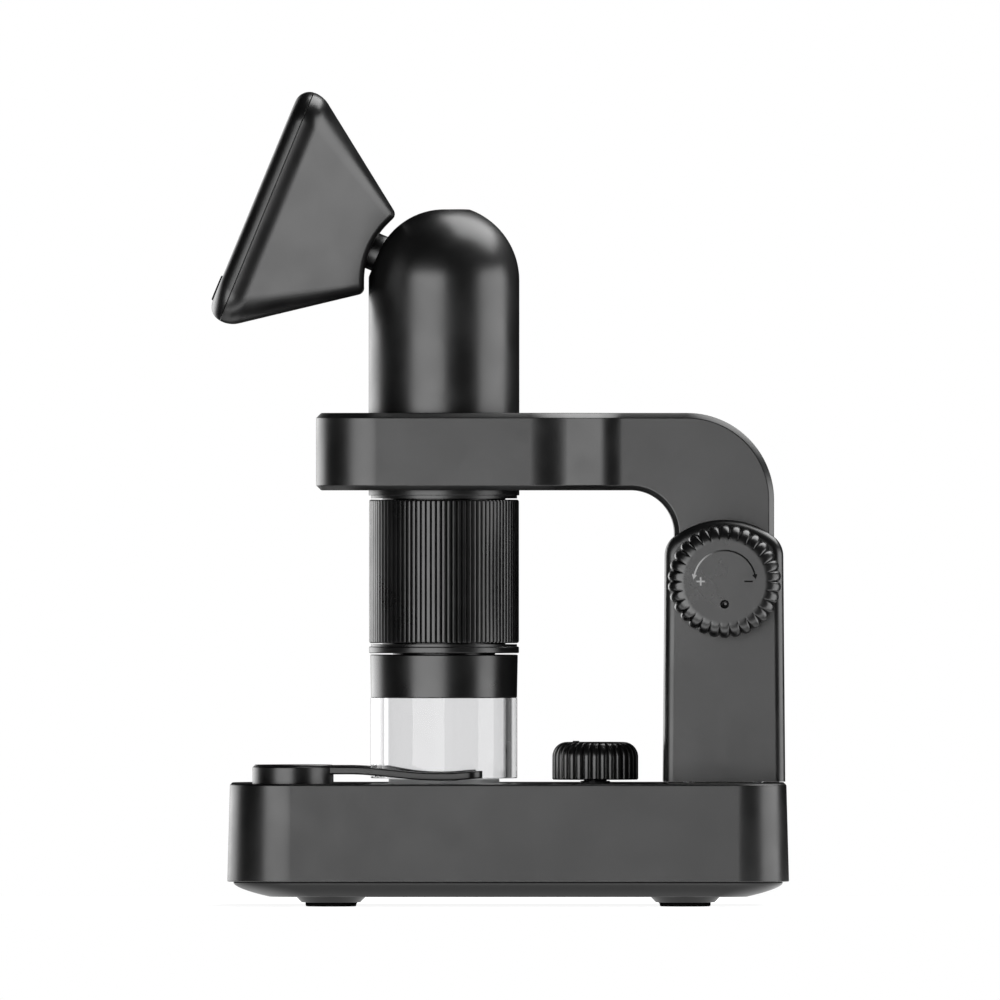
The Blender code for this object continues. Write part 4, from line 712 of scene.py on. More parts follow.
def make_base_housing():
    """Upper housing of the base with a softly rounded top edge."""
    ceiling = BASE_TOP_Z - WALL
    rim = BASE_EDGE / 2
    centre = BASE_DRAFT + BASE_EDGE
    levels = [(BASE_DRAFT + WALL, ceiling), (WALL, BASE_RIM_Z)]
    levels += arc(rim, BASE_RIM_Z + rim, rim, 270, 180, 3)
    levels += arc(centre, BASE_TOP_Z - BASE_EDGE, BASE_EDGE, 180, 90, 5)
    shell = skin("base_housing", [raise_to(base_outline(inset), z) for inset, z in levels])
    above = BASE_TOP_Z + OVERCUT
    below = ceiling - OVERCUT
    seat = STAGE_GLASS_RADIUS + GAP
    hole = seat - STAGE_LEDGE
    seat_z = BASE_TOP_Z - STAGE_GLASS_SEAT
    profile = [(0, above), (seat, above), (seat, seat_z), (hole, seat_z), (hole, below), (0, below)]
    tools = [at(turned("seat", profile), TUBE_X)]
    tools.append(at(rod("dimmer_hole", DIMMER_NECK_RADIUS + GAP, below, above), DIMMER_X))
    for side in (-1, 1):
        drill = rod("clip_hole", CLIP_POST_RADIUS + GAP, below, above)
        tools.append(at(drill, CLIP_X, side * CLIP_Y))
    cut(shell, *tools)
    show(shell, "satin_black", "base", "base_shell")
    plinth = box("column_plinth", COLUMN_X, COLUMN_HALF_X - 2 * RUN, COLUMN_HALF_Y - 3 * RUN,
                 BASE_TOP_Z - RUN, COLUMN_BOTTOM_Z - GAP)
    show(plinth, "satin_black", "base")


def make_bottom_cover():
    """Belly plate with swept edges, foot bosses, screw sinks and the battery opening."""
    rings = []
    steps = 14
    for index in range(steps + 1):
        fall = index / steps
        share = fall ** COVER_CURVE
        outline = base_outline(COVER_TUCK + COVER_SWEEP * share,
                               COVER_TUCK + COVER_SIDE_SWEEP * share)
        rings.append(raise_to(outline, COVER_TOP_Z - fall * (COVER_TOP_Z - COVER_BOTTOM_Z)))
    cover = skin("belly_plate", rings)
    middle = (COVER_BOTTOM_Z + COVER_TOP_Z) / 2
    floor = FOOT_PROUD + FOOT_SEAT
    seat = FOOT_RADIUS + GAP
    root = FOOT_BOSS_RADIUS + FOOT_BOSS_FLARE
    profile = [(0, middle), (root, middle), (root, COVER_BOTTOM_Z),
               (FOOT_BOSS_RADIUS - FOOT_BOSS_DRAFT, FOOT_PROUD, GAP), (seat, FOOT_PROUD),
               (seat, floor), (0, floor)]
    combine(cover, "UNION", *[at(turned("foot_boss", profile, 64), x, y)
                              for x, y in base_places(FOOT_REACH_X, FOOT_REACH_Y)])
    seat_z = COVER_BOTTOM_Z + SCREW_SINK + SCREW_HEAD + GAP
    shank = SCREW_RADIUS + GAP
    head = SCREW_HEAD_RADIUS + GAP
    profile = [(0, BASE_RIM_Z), (shank, BASE_RIM_Z), (shank, seat_z), (head, seat_z), (head, 0),
               (0, 0)]
    tools = [at(turned("screw_sink", profile, 48), x, y)
             for x, y in base_places(SCREW_REACH_X, SCREW_REACH_Y)]
    for margin, high in ((GAP, COVER_BOTTOM_Z + DOOR_THICKNESS + GAP), (-DOOR_LEDGE, BASE_RIM_Z)):
        opening = centred_outline(DOOR_LENGTH, DOOR_WIDTH, DOOR_CORNER, DOOR_X, 0, margin)
        tools.append(prism("door_opening", opening, 0, high))
    cut(cover, *tools)
    show(cover, "satin_black", "base", "base_bottom_cover")


def make_feet():
    """Rubber feet with a soft edge and a shallow moulded dish."""
    top = FOOT_PROUD + FOOT_SEAT - GAP
    profile = [(0, top), (FOOT_RADIUS, top), (FOOT_RADIUS, 0, FOOT_EDGE),
               (FOOT_DISH + GAP, 0, GAP), (FOOT_DISH, GAP, GAP), (0, GAP)]
    for number, (x, y) in enumerate(base_places(FOOT_REACH_X, FOOT_REACH_Y), 1):
        foot = at(turned(f"foot_pad_{number}", profile, 64), x, y)
        show(foot, "rubber", "base", f"rubber_foot_{number}")


def make_screws():
    """Cross-recessed pan heads under the base."""
    low = COVER_BOTTOM_Z + SCREW_SINK
    high = COVER_TOP_Z + SCREW_LENGTH
    profile = [(0, high), (SCREW_RADIUS, high, GAP), (SCREW_RADIUS, low + SCREW_HEAD),
               (SCREW_HEAD_RADIUS, low + SCREW_HEAD), (SCREW_HEAD_RADIUS, low, SCREW_EDGE),
               (0, low)]
    for number, (x, y) in enumerate(base_places(SCREW_REACH_X, SCREW_REACH_Y), 1):
        screw = turned(f"pan_screw_{number}", profile, 48)
        cut(screw, box("cross", 0, CROSS_REACH, CROSS_HALF, 0, low + CROSS_DEPTH),
            box("cross", 0, CROSS_HALF, CROSS_REACH, 0, low + CROSS_DEPTH))
        turn = Matrix.Rotation(radians(SCREW_TURN + SCREW_TURN_STEP * number), 4, "Z")
        moved(screw, Matrix.Translation((x, y, 0)) @ turn)
        show(screw, "steel", "base", f"base_screw_{number}")


def make_battery_door():
    """Door with a moulded arrow and grip ribs at its sliding end."""
    outline = centred_outline(DOOR_LENGTH, DOOR_WIDTH, DOOR_CORNER, DOOR_X)
    door = prism("sliding_door", outline, COVER_BOTTOM_Z, COVER_BOTTOM_Z + DOOR_THICKNESS)
    soften(door, SOFT_EDGE)
    left = DOOR_X - DOOR_LENGTH / 2
    low = COVER_BOTTOM_Z - OVERCUT
    high = COVER_BOTTOM_Z + DOOR_MARK_DEPTH
    tools = [box("grip_groove", left + GRIP_REACH + GRIP_PITCH * index, GRIP_WIDTH / 2, GRIP_HALF,
                 low, high) for index in range(GRIP_COUNT)]
    arrow = [(left + ARROW_TIP, 0), (left + ARROW_BACK, ARROW_HALF),
             (left + ARROW_BACK, -ARROW_HALF)]
    cut(door, *tools, prism("arrow", arrow, low, high))
    show(door, "satin_black", "base", "battery_door")


def make_stage_glass():
    low = BASE_TOP_Z - STAGE_GLASS_SEAT + GAP
    high = BASE_TOP_Z + STAGE_GLASS_PROUD
    profile = [(0, high), (STAGE_GLASS_RADIUS, high, GAP), (STAGE_GLASS_RADIUS, low, GAP), (0, low)]
    show(at(turned("stage_disc", profile, 128), TUBE_X), "frosted_glass", "base", "stage_glass")


def lobed_ring(radius, depth, height, pinch=1.0):
    """Convex lobes that meet in sharp valleys. A larger pinch makes the valleys slimmer."""
    points = []
    samples = 12
    count = KNOB_LOBES * samples
    deepest = 1 - sqrt(1 - KNOB_LOBE_ROUND)
    for index in range(count):
        reach = abs(2 * (index % samples) / samples - 1)
        valley = 1 - sqrt(1 - KNOB_LOBE_ROUND * reach ** (2 * pinch))
        far = radius - depth * valley / deepest
        points.append((*polar(far, 2 * pi * index / count), height))
    return points


def fluted_knob(name, radius, face_radius, depth, back, front, shoulder, chamfer):
    """A fluted knob with a rounded shoulder and a flat face."""
    rings = [lobed_ring(radius - chamfer, depth, back), lobed_ring(radius, depth, back + chamfer)]
    steps = 12
    for index in range(steps + 1):
        share = index / steps
        angle = radians(90 * share)
        reach = face_radius + (radius - face_radius) * cos(angle)
        height = front - shoulder * (1 - sin(angle))
        pinch = 1 + KNOB_LOBE_PINCH * share * share
        rings.append(lobed_ring(reach, depth * (1 - share ** 4), height, pinch))
    rings.append(lobed_ring(face_radius - GAP, 0, front))
    return skin(name, rings)


def make_dimmer():
    """Ribbed brightness knob with its pointer dot."""
    high = DIMMER_BOTTOM_Z + DIMMER_HEIGHT
    knob = fluted_knob("brightness_knob", DIMMER_RADIUS, DIMMER_RADIUS - DIMMER_SHOULDER,
                       DIMMER_LOBE_DEPTH, DIMMER_BOTTOM_Z, high, DIMMER_SHOULDER, GAP)
    cut(knob, rod("socket", DIMMER_SHAFT_RADIUS + GAP, 0, high - WALL))
    show(at(knob, DIMMER_X), "knob_black", "dimmer", "dimmer_knob")
    tip = high + DOT_HEIGHT
    profile = [(0, tip), (DIMMER_DOT_RADIUS, tip, SOFT_EDGE), (DIMMER_DOT_RADIUS, high - GAP),
               (0, high - GAP)]
    dot = at(turned("brightness_dot", profile, 48), DIMMER_X - DIMMER_DOT_REACH)
    show(dot, "knob_black", "dimmer")


def smooth_step(value):
    value = min(max(value, 0.0), 1.0)
    return value * value * (3 - 2 * value)


def clip_height(reach):
    """Height of the clip arm's upper face at a reach from the puck's axis."""
    share = reach / CLIP_REACH
    dip = CLIP_DIP * smooth_step((share - CLIP_DIP_FROM) / CLIP_DIP_OVER)
    rise = CLIP_TIP_RISE * smooth_step((share - CLIP_RISE_FROM) / CLIP_RISE_OVER)
    return CLIP_TOP_Z - CLIP_ROOT_DROP - dip + rise


def make_clip(name, side):
    """One stage clip: puck, springy arm with a round tip, and pad."""
    low = BASE_TOP_Z + CLOSE
    clip = turned(f"{name}_spring", [(0, CLIP_TOP_Z), (CLIP_PUCK_RADIUS, CLIP_TOP_Z, CLIP_PUCK_EDGE),
                                     (CLIP_PUCK_RADIUS, low, CLOSE), (0, low)])
    half = CLIP_WIDTH / 2
    straight = CLIP_REACH - half
    stations = [(half, index * straight / 40) for index in range(41)]
    stations += arc(0, straight, half, 7.2, 86.4, 11)
    rings = []
    for wide, reach in stations:
        top = clip_height(reach)
        bottom = top - CLIP_THICKNESS
        ease = min(CLIP_EDGE, wide * 0.45)
        section = eased([(wide, bottom, ease), (wide, top, ease), (-wide, top, ease),
                         (-wide, bottom, ease)], closed=True, steps=3)
        rings.append([(reach, y, z) for y, z in section])
    pad_top = CLIP_TOP_Z - CLIP_ROOT_DROP - CLIP_DIP - CLIP_THICKNESS / 2
    profile = [(0, pad_top), (CLIP_PAD_RADIUS, pad_top), (CLIP_PAD_RADIUS, CLIP_PAD_Z, CLIP_EDGE),
               (0, CLIP_PAD_Z)]
    combine(clip, "UNION", skin("arm", rings), at(turned("pad", profile, 64), CLIP_PAD_REACH))
    cut(clip, rod("post_hole", CLIP_POST_RADIUS + GAP, 0, CLIP_TOP_Z - WALL / 2))
    at(clip, CLIP_X, side * CLIP_Y)
    show(clip, "satin_black", name.replace("stage_", ""), name)


def column_ring(inset, y):
    """Outline of the column in the XZ plane, drawn in by an inset, at a depth."""
    half = COLUMN_HALF_X
    rise = COLUMN_ARCH_RISE
    radius = (half * half + rise * rise) / (2 * rise)
    arch_z = COLUMN_TOP_Z - radius
    corner_x = half - COLUMN_CORNER
    lift = sqrt((radius - COLUMN_CORNER) ** 2 - corner_x ** 2)
    turn = degrees(atan2(lift, corner_x))
    shoulder_z = arch_z + lift
    corner = COLUMN_CORNER - inset
    points = arc(COLUMN_X + corner_x, shoulder_z, corner, 0, turn, 10)
    points += arc(COLUMN_X, arch_z, radius - inset, turn, 180 - turn, 30)[1:-1]
    points += arc(COLUMN_X - corner_x, shoulder_z, corner, 180 - turn, 180, 10)
    foot = half + COLUMN_DRAFT - inset
    points += [(COLUMN_X - foot, COLUMN_BOTTOM_Z), (COLUMN_X + foot, COLUMN_BOTTOM_Z)]
    return [(x, y, z) for x, z in points]


def make_column():
    """Hollow column with arched cheeks and rounded face edges."""
    edge = arc(COLUMN_EDGE, COLUMN_HALF_Y - COLUMN_EDGE, COLUMN_EDGE, 90, 180, 6)
    rings = [column_ring(inset, -depth) for inset, depth in edge]
    rings += [column_ring(inset, depth) for inset, depth in reversed(edge)]
    column = skin("column_housing", rings)
    channel = box("channel", COLUMN_X, POST_HALF_X + RUN, POST_HALF_Y + RUN,
                  COLUMN_BOTTOM_Z + COLUMN_FOOT, COLUMN_TOP_Z + OVERCUT)
    reach = COLUMN_HALF_Y + OVERCUT
    bearing = stand_up(rod("bearing", BEARING_RADIUS, -reach, reach))
    cut(column, channel, at(bearing, COLUMN_X, 0, SHAFT_Z))
    show(column, "satin_black", "base", "column_shell")


def arm_plan(inset):
    """Open plan of the arm's block and S-curve, up to where it joins the bend."""
    turn = ARM_SWELL_TURN
    cosine, sine = polar(1, radians(turn))
    both = ARM_SWELL_OUT + ARM_SWELL_IN
    straight = (ARM_HALF_WIDTH - POST_HALF_Y - both * (1 - cosine)) / sine
    start_x = TUBE_X + ARM_FLAT
    end_x = start_x + both * sine + straight * cosine
    corner_x = TUBE_X - ARM_REACH + ARM_CORNER
    upper = [(ARM_JOIN_X, POST_HALF_Y - inset)]
    upper += arc(end_x, POST_HALF_Y + ARM_SWELL_IN, ARM_SWELL_IN + inset, 270, 270 - turn, 16)
    upper += arc(start_x, ARM_HALF_WIDTH - ARM_SWELL_OUT, ARM_SWELL_OUT - inset,
                 90 - turn, 90, 16)[1:]
    upper += arc(corner_x, ARM_HALF_WIDTH - ARM_CORNER, ARM_CORNER - inset, 90, 180, 24)
    return upper + [(x, -y) for x, y in reversed(upper)]


def make_arm():
    """Arm and post in one smooth moulding, bored for the tube."""
    work = bmesh.new()
    drop = ARM_EDGE - 2 * ARM_EASE
    levels = [(ARM_EDGE, 0.0), (drop, ARM_EASE), (ARM_EASE, drop), (0.0, ARM_EDGE)]
    stack = [(inset, ARM_BOTTOM_Z + rise) for inset, rise in levels]
    stack += [(inset, ARM_TOP_Z - rise) for inset, rise in reversed(levels)]
    rings = [[work.verts.new((x, y, height)) for x, y in arm_plan(inset)]
             for inset, height in stack]
    for lower, upper in zip(rings, rings[1:]):
        bridge(work, lower, upper, around=False)
    outer = COLUMN_X + POST_HALF_X
    inner = COLUMN_X - POST_HALF_X
    stations = [((ARM_JOIN_X, ARM_BOTTOM_Z), (ARM_JOIN_X, ARM_TOP_Z), (0, 1))]
    steps = 28
    for index in range(steps + 1):
        up, out = polar(1, radians(90 * index / steps))
        inside = (inner - ARM_INNER_BEND * (1 - out), ARM_BOTTOM_Z - ARM_INNER_BEND * (1 - up))
        outside = (outer - ARM_OUTER_BEND * (1 - out), ARM_TOP_Z - ARM_OUTER_BEND * (1 - up))
        stations.append((inside, outside, (out, up)))
    stations.append(((inner, POST_BOTTOM_Z), (outer, POST_BOTTOM_Z), (1, 0)))
    sections = []
    for inside, outside, way in stations:
        side = [(inside[0] + way[0] * rise, POST_HALF_Y - inset, inside[1] + way[1] * rise)
                for inset, rise in levels]
        side += [(outside[0] - way[0] * rise, POST_HALF_Y - inset, outside[1] - way[1] * rise)
                 for inset, rise in reversed(levels)]
        loop = side + [(x, -y, z) for x, y, z in reversed(side)]
        sections.append([work.verts.new(point) for point in loop])
    for first, second in zip(sections, sections[1:]):
        bridge(work, first, second)
    for end in (rings[0], rings[-1], sections[-1]):
        work.faces.new(end)
    bmesh.ops.remove_doubles(work, verts=work.verts, dist=0.000002)
    arm = object_from("arm_moulding", work)
    bore = rod("bore", ARM_BORE, ARM_BOTTOM_Z - OVERCUT, ARM_TOP_Z + OVERCUT, 128)
    cavity = box("cavity", COLUMN_X, POST_CAVITY_HALF, POST_HALF_Y - POST_WALL_Y,
                 POST_BOTTOM_Z - OVERCUT, ARM_BOTTOM_Z - POST_CEILING)
    reach = SHAFT_RADIUS + RUN
    outline = arc(COLUMN_X, SHAFT_Z, reach, 0, 180, 16)
    outline += arc(COLUMN_X, SHAFT_Z - FOCUS_TRAVEL, reach, 180, 360, 16)
    slot = stand_up(prism("slot", outline, -ARM_HALF_WIDTH, ARM_HALF_WIDTH))
    cut(arm, at(bore, TUBE_X), cavity, slot)
    show(arm, "satin_black", "arm", "focus_arm")
    low = ARM_BOTTOM_Z + LINER_INSET
    high = ARM_TOP_Z - LINER_INSET
    profile = [(LINER_RADIUS, high, GAP), (LINER_RADIUS, low), (LINER_BORE, low, GAP),
               (LINER_BORE, high, GAP)]
    show(at(turned("felt_liner", profile, 128, True), TUBE_X), "felt", "arm", "holder_liner")


def knob_frame(far):
    """Frame of a focus knob, with local Z along its outward axis."""
    turn = Matrix.Rotation(pi / 2, 4, "X")
    if far:
        turn = turn @ Matrix.Rotation(pi, 4, "Y")
    return Matrix.Translation((COLUMN_X, 0, SHAFT_Z)) @ turn


def make_marks(name, far, front):
    """The raised arc, arrows and signs on a knob's face. Their tops slope down outward."""
    sink = front - GAP

    def top(point, centre, out):
        return front + KNOB_MARK_HEIGHT - (point - centre).dot(out) * KNOB_MARK_SLOPE

    def show_mark(label, rings):
        piece = moved(skin(f"{name}_{label}", rings), knob_frame(far))
        show(piece, "mark_black", "focus_drive", slot="knob_black")

    def sign(label, outline, centre, out):
        low = [(*point, sink) for point in outline]
        show_mark(label, [low, [(*point, top(point, centre, out)) for point in outline]])

    rings = []
    steps = 60
    for index in range(steps + 1):
        out = Vector(polar(1, radians(90 + KNOB_MARK_SPAN * (1 - 2 * index / steps))))
        centre = out * KNOB_MARK_RADIUS
        inner = centre - out * KNOB_MARK_WIDTH / 2
        outer = centre + out * KNOB_MARK_WIDTH / 2
        rings.append([(*inner, sink), (*outer, sink), (*outer, top(outer, centre, out)),
                      (*inner, top(inner, centre, out))])
    show_mark("arc", rings)
    for label, end in (("arrow_start", -1), ("arrow_end", 1)):
        out = Vector(polar(1, radians(90 + end * KNOB_MARK_SPAN)))
        along = Vector((-out.y, out.x)) * end
        centre = out * KNOB_MARK_RADIUS
        sign(label, [centre + along * KNOB_ARROW_LENGTH, centre + out * KNOB_ARROW_HALF,
                     centre - out * KNOB_ARROW_HALF], centre, out)
    half = KNOB_SIGN_HALF
    thin = KNOB_MARK_WIDTH / 2
    minus = [(-half, -thin), (half, -thin), (half, thin), (-half, thin)]
    plus = []
    corner = [(-half, -thin), (-thin, -thin), (-thin, -half)]
    for _ in range(4):
        plus += corner
        corner = [(-y, x) for x, y in corner]
    reach = -KNOB_SIGN_REACH if far else KNOB_SIGN_REACH
    for label, outline, x in (("plus", plus, -reach), ("minus", minus, reach)):
        centre = Vector((x, 0))
        sign(label, [centre + Vector(point) for point in outline], centre, centre.normalized())


def make_focus_knob(name, far):
    """Fluted focus knob with its dot, and the marks that show the way of travel."""
    front = KNOB_BACK + KNOB_LENGTH
    knob = fluted_knob(f"{name}_grip", KNOB_RADIUS, KNOB_FACE_RADIUS, KNOB_LOBE_DEPTH, KNOB_BACK,
                       front, KNOB_SHOULDER, KNOB_CHAMFER)
    socket = rod("socket", SHAFT_RADIUS + GAP, KNOB_BACK - OVERCUT, KNOB_BACK + KNOB_SOCKET)
    dimple = turned("dimple", arc(0, 0, KNOB_DOT_RADIUS, 90, -90, 24), 48)
    cut(knob, socket, at(dimple, 0, -KNOB_DOT_DROP, front))
    show(moved(knob, knob_frame(far)), "knob_black", "focus_drive", name)
    make_marks(name, far, front)


def slot_cutter():
    """The tilt slot as a loft of flat sections that fan out from the pivot."""
    inner = BALL_RADIUS - SLOT_HALF_WIDTH
    outer = TUBE_RADIUS + OVERCUT
    sweep = 24
    stations = [(TILT_REST, -step) for step in range(88, 0, -8)]
    stations += [(TILT_REST + (90 - TILT_REST) * index / sweep, 0) for index in range(sweep + 1)]
    stations += [(90, step) for step in range(8, 89, 8)]
    rings = []
    for centre, step in stations:
        half, side = polar(SLOT_HALF_WIDTH, radians(step))
        fan = degrees(asin(side / TUBE_RADIUS))
        angle = radians(180 - centre - fan)
        ring = []
        for reach, y in ((inner, -half), (inner, half), (outer, half), (outer, -half)):
            x, z = polar(reach, angle, TUBE_X, DOME_Z)
            ring.append((x, y, z))
        rings.append(ring)
    return skin("slot", rings)


def make_tube():
    """Main tube with its slotted dome."""
    bore = TUBE_RADIUS - TUBE_WALL
    outer = arc(0, DOME_Z, TUBE_RADIUS, 90, 0, 28)
    inner = arc(0, DOME_Z, bore, 0, 90, 16)
    edge = eased([outer[-1], (TUBE_RADIUS, TUBE_SHOULDER_Z, SOFT_EDGE),
                  (GROOVE_RADIUS, TUBE_SHOULDER_Z), (GROOVE_RADIUS, TUBE_END_Z),
                  (bore, TUBE_END_Z)])
    tube = at(turned("tube_housing", outer + edge[1:] + inner, 128), TUBE_X)
    cut(tube, slot_cutter())
    show(tube, "satin_black", "microscope", "microscope_tube")


def make_barrel():
    """Inner barrel with the flange that shows under the focus ring."""
    tail = TUBE_RADIUS - TUBE_WALL - GAP
    bore = NECK_RADIUS - NECK_WALL
    neck_bottom = COLLAR_BOTTOM_Z + COLLAR_WALL
    profile = [(tail, BARREL_TOP_Z), (tail, TUBE_END_Z), (FOCUS_BARREL_RADIUS, TUBE_END_Z),
               (FOCUS_BARREL_RADIUS, RING_BOTTOM_Z - GAP), (GROOVE_RADIUS, RING_BOTTOM_Z - GAP),
               (GROOVE_RADIUS, FLANGE_TOP_Z), (RING_RADIUS, FLANGE_TOP_Z, GAP),
               (RING_RADIUS, FLANGE_BOTTOM_Z, GAP), (NECK_RADIUS, FLANGE_BOTTOM_Z),
               (NECK_RADIUS, neck_bottom), (bore, neck_bottom), (bore, BARREL_TOP_Z)]
    barrel = at(turned("barrel_turning", profile, 128, True), TUBE_X)
    show(barrel, "knob_black", "microscope", "nose_barrel")


def ribbed_ring(radius, depth, height):
    """Upright ribs round a radius, cut in by a depth."""
    points = []
    for index in range(FOCUS_RIBS):
        for share, dip in ((0, 1), (0.10, 0.62), (0.22, 0.10), (0.5, 0), (0.78, 0.10), (0.90, 0.62)):
            angle = 2 * pi * (index + share) / FOCUS_RIBS
            points.append((*polar(radius - depth * dip, angle), height))
    return points


def make_focus_ring():
    """Knurled ring of fine upright ribs with eased ends."""
    part = RING_EDGE * 0.3
    levels = [(RING_EDGE, FOCUS_RIB_END, 0), (part, FOCUS_RIB_DEPTH / 2, part),
              (0, FOCUS_RIB_DEPTH, RING_EDGE)]
    rings = [ribbed_ring(RING_RADIUS - inset, depth, RING_BOTTOM_Z + rise)
             for inset, depth, rise in levels]
    rings += [ribbed_ring(RING_RADIUS - inset, depth, RING_TOP_Z - rise)
              for inset, depth, rise in reversed(levels)]
    grip = skin("focus_grip", rings)
    cut(grip, rod("bore", FOCUS_BARREL_RADIUS + GAP, RING_BOTTOM_Z - OVERCUT,
                  RING_TOP_Z + OVERCUT, 96))
    show(at(grip, TUBE_X), "knob_black", "lens_ring", "focus_ring", sharp=50)


def make_nose():
    """Collar, lamp ring with its lamps, and the clear hood."""
    low_radius = COLLAR_RADIUS - COLLAR_DRAFT
    inner = low_radius - COLLAR_WALL
    ceiling = COLLAR_TOP_Z - COLLAR_CEILING
    neck_hole = NECK_RADIUS + GAP
    profile = [(COLLAR_RADIUS, COLLAR_TOP_Z, GAP), (low_radius, COLLAR_BOTTOM_Z, SOFT_EDGE),
               (inner, COLLAR_BOTTOM_Z), (inner, ceiling), (neck_hole, ceiling),
               (neck_hole, COLLAR_TOP_Z)]
    collar = at(turned("hood_collar_turning", profile, 128, True), TUBE_X)
    show(collar, "knob_black", "microscope", "hood_collar")
    board_low = ceiling - GAP - LED_RING_THICKNESS
    for index in range(LED_COUNT):
        lamp = box(f"ring_led_{index + 1}", 0, LED_HALF_X, LED_HALF_Y, board_low - LED_PROUD,
                   board_low + LED_SINK)
        soften(lamp, LED_EDGE)
        turn = Matrix.Rotation(2 * pi * (index + 0.5) / LED_COUNT, 4, "Z")
        place = turn @ Matrix.Translation(((neck_hole + inner) / 2, 0, 0))
        moved(lamp, Matrix.Translation((TUBE_X, 0, 0)) @ place)
        show(lamp, "white_resin", "microscope")
    top = COLLAR_BOTTOM_Z - CLOSE
    spigot = inner - GAP
    wall = HOOD_RADIUS - HOOD_WALL
    bore = spigot - HOOD_SPIGOT_WALL
    profile = [(spigot, top + HOOD_SPIGOT, SOFT_EDGE), (spigot, top), (HOOD_RADIUS, top),
               (HOOD_RADIUS, HOOD_BOTTOM_Z, GAP), (wall, HOOD_BOTTOM_Z, GAP), (wall, top, GAP),
               (bore, top + HOOD_CHAMFER, SOFT_EDGE), (bore, top + HOOD_SPIGOT, SOFT_EDGE)]
    hood = at(turned("clear_hood_turning", profile, 160, True), TUBE_X)
    show(hood, "clear_plastic", "microscope", "clear_hood")


def make_lens():
    """Lens carrier and its front lens."""
    outer = NECK_RADIUS - NECK_WALL - GAP
    inner = outer - LENS_CARRIER_WALL
    lip = inner - LENS_CARRIER_WALL / 2
    seat = LENS_CARRIER_LOW + WALL / 2
    profile = [(outer, LENS_CARRIER_HIGH), (outer, LENS_CARRIER_LOW, GAP),
               (lip, LENS_CARRIER_LOW, LENS_LIP_EDGE), (lip, seat), (inner, seat),
               (inner, LENS_CARRIER_HIGH)]
    carrier = at(turned("lens_cell", profile, closed=True), TUBE_X)
    show(carrier, "inner_black", "lens", "lens_carrier")
    low = seat + GAP
    edge = inner - GAP
    radius = (edge * edge + LENS_CROWN * LENS_CROWN) / (2 * LENS_CROWN)
    sweep = degrees(asin(edge / radius))
    top = arc(0, low + LENS_THICKNESS - radius, radius, 90, 90 - sweep, 10)
    lens = turned("lens_glass", top + [(edge, low), (0, low)])
    show(at(lens, TUBE_X), "clear_plastic", "lens", "objective_lens")


def head_frame():
    """Frame about the pivot, with local Z out of the screen and local Y up its face."""
    x, z = polar(1, radians(TILT_REST))
    out = Vector((-x, 0, z))
    up = Vector((z, 0, x))
    turn = Matrix((up.cross(out), up, out)).transposed()
    return Matrix.Translation((TUBE_X, 0, DOME_Z)) @ turn.to_4x4()


def sideways(piece):
    """Lay a piece drawn along local Z along the head's own X."""
    return moved(piece, Matrix.Rotation(pi / 2, 4, "Y"))


def make_tilt_ball():
    """Ball segment that fills the dome's slot, with the stalk of the head."""
    ball = turned("tilt_segment", arc(0, 0, BALL_RADIUS, 90, -90, 48))
    reach = BALL_RADIUS + OVERCUT
    combine(ball, "INTERSECT", box("block", 0, BALL_HALF_WIDTH, reach, -BALL_BACK, reach))
    stalk = rod("stalk", STALK_RADIUS, BALL_RADIUS / 2, HEAD_FLOOR + HEAD_NUT_THICKNESS + GAP, 64)
    combine(ball, "UNION", stalk)
    cut(ball, sideways(rod("hole", PIVOT_RADIUS + GAP, -reach, reach)))
    show(moved(ball, head_frame()), "satin_black", "screen_head", "tilt_ball")


def head_half(distance):
    """Half-size of the head at a distance from the pivot."""
    taper = radians(HEAD_TAPER)
    tangent = HEAD_WIDEST - HEAD_REAR_EDGE * sin(taper)
    if distance < tangent:
        widest = HEAD_HALF - HEAD_REAR_EDGE * (1 - cos(taper))
        return widest - (tangent - distance) * tan(taper)
    edge = HEAD_REAR_EDGE if distance < HEAD_WIDEST else HEAD_EDGE
    reach = min(abs(distance - HEAD_WIDEST), edge)
    return HEAD_HALF - edge + sqrt(edge ** 2 - reach ** 2)


def head_ring(distance, inset=0.0):
    """One rounded square of the head."""
    half = head_half(distance)
    back = head_half(HEAD_BACK)
    share = (half - back) / (HEAD_HALF - back)
    corner = HEAD_BACK_CORNER + (HEAD_CORNER - HEAD_BACK_CORNER) * share
    half -= inset
    corner = max(corner - inset, BASE_EDGE)
    return raise_to(rounded_outline(-half, half, half, corner, corner), distance)


def ease_hollow(shell):
    """Round the rim of the hollow that clears the dome."""
    work = bmesh.new()
    work.from_mesh(shell.data)
    rim = []
    for edge in work.edges:
        ends = [corner.co for corner in edge.verts]
        on_hollow = all(abs(hypot(end.y, end.z) - HEAD_BACK_RADIUS) < GAP / 20 for end in ends)
        clear = all(hypot(end.x, end.y) > 2 * STALK_RADIUS for end in ends)
        if on_hollow and clear and edge.calc_face_angle(0.0) > radians(25):
            rim.append(edge)
    bmesh.ops.bevel(work, geom=rim, offset=HEAD_HOLLOW_EDGE, segments=5, profile=0.5,
                    affect="EDGES", clamp_overlap=False)
    work.to_mesh(shell.data)
    work.free()


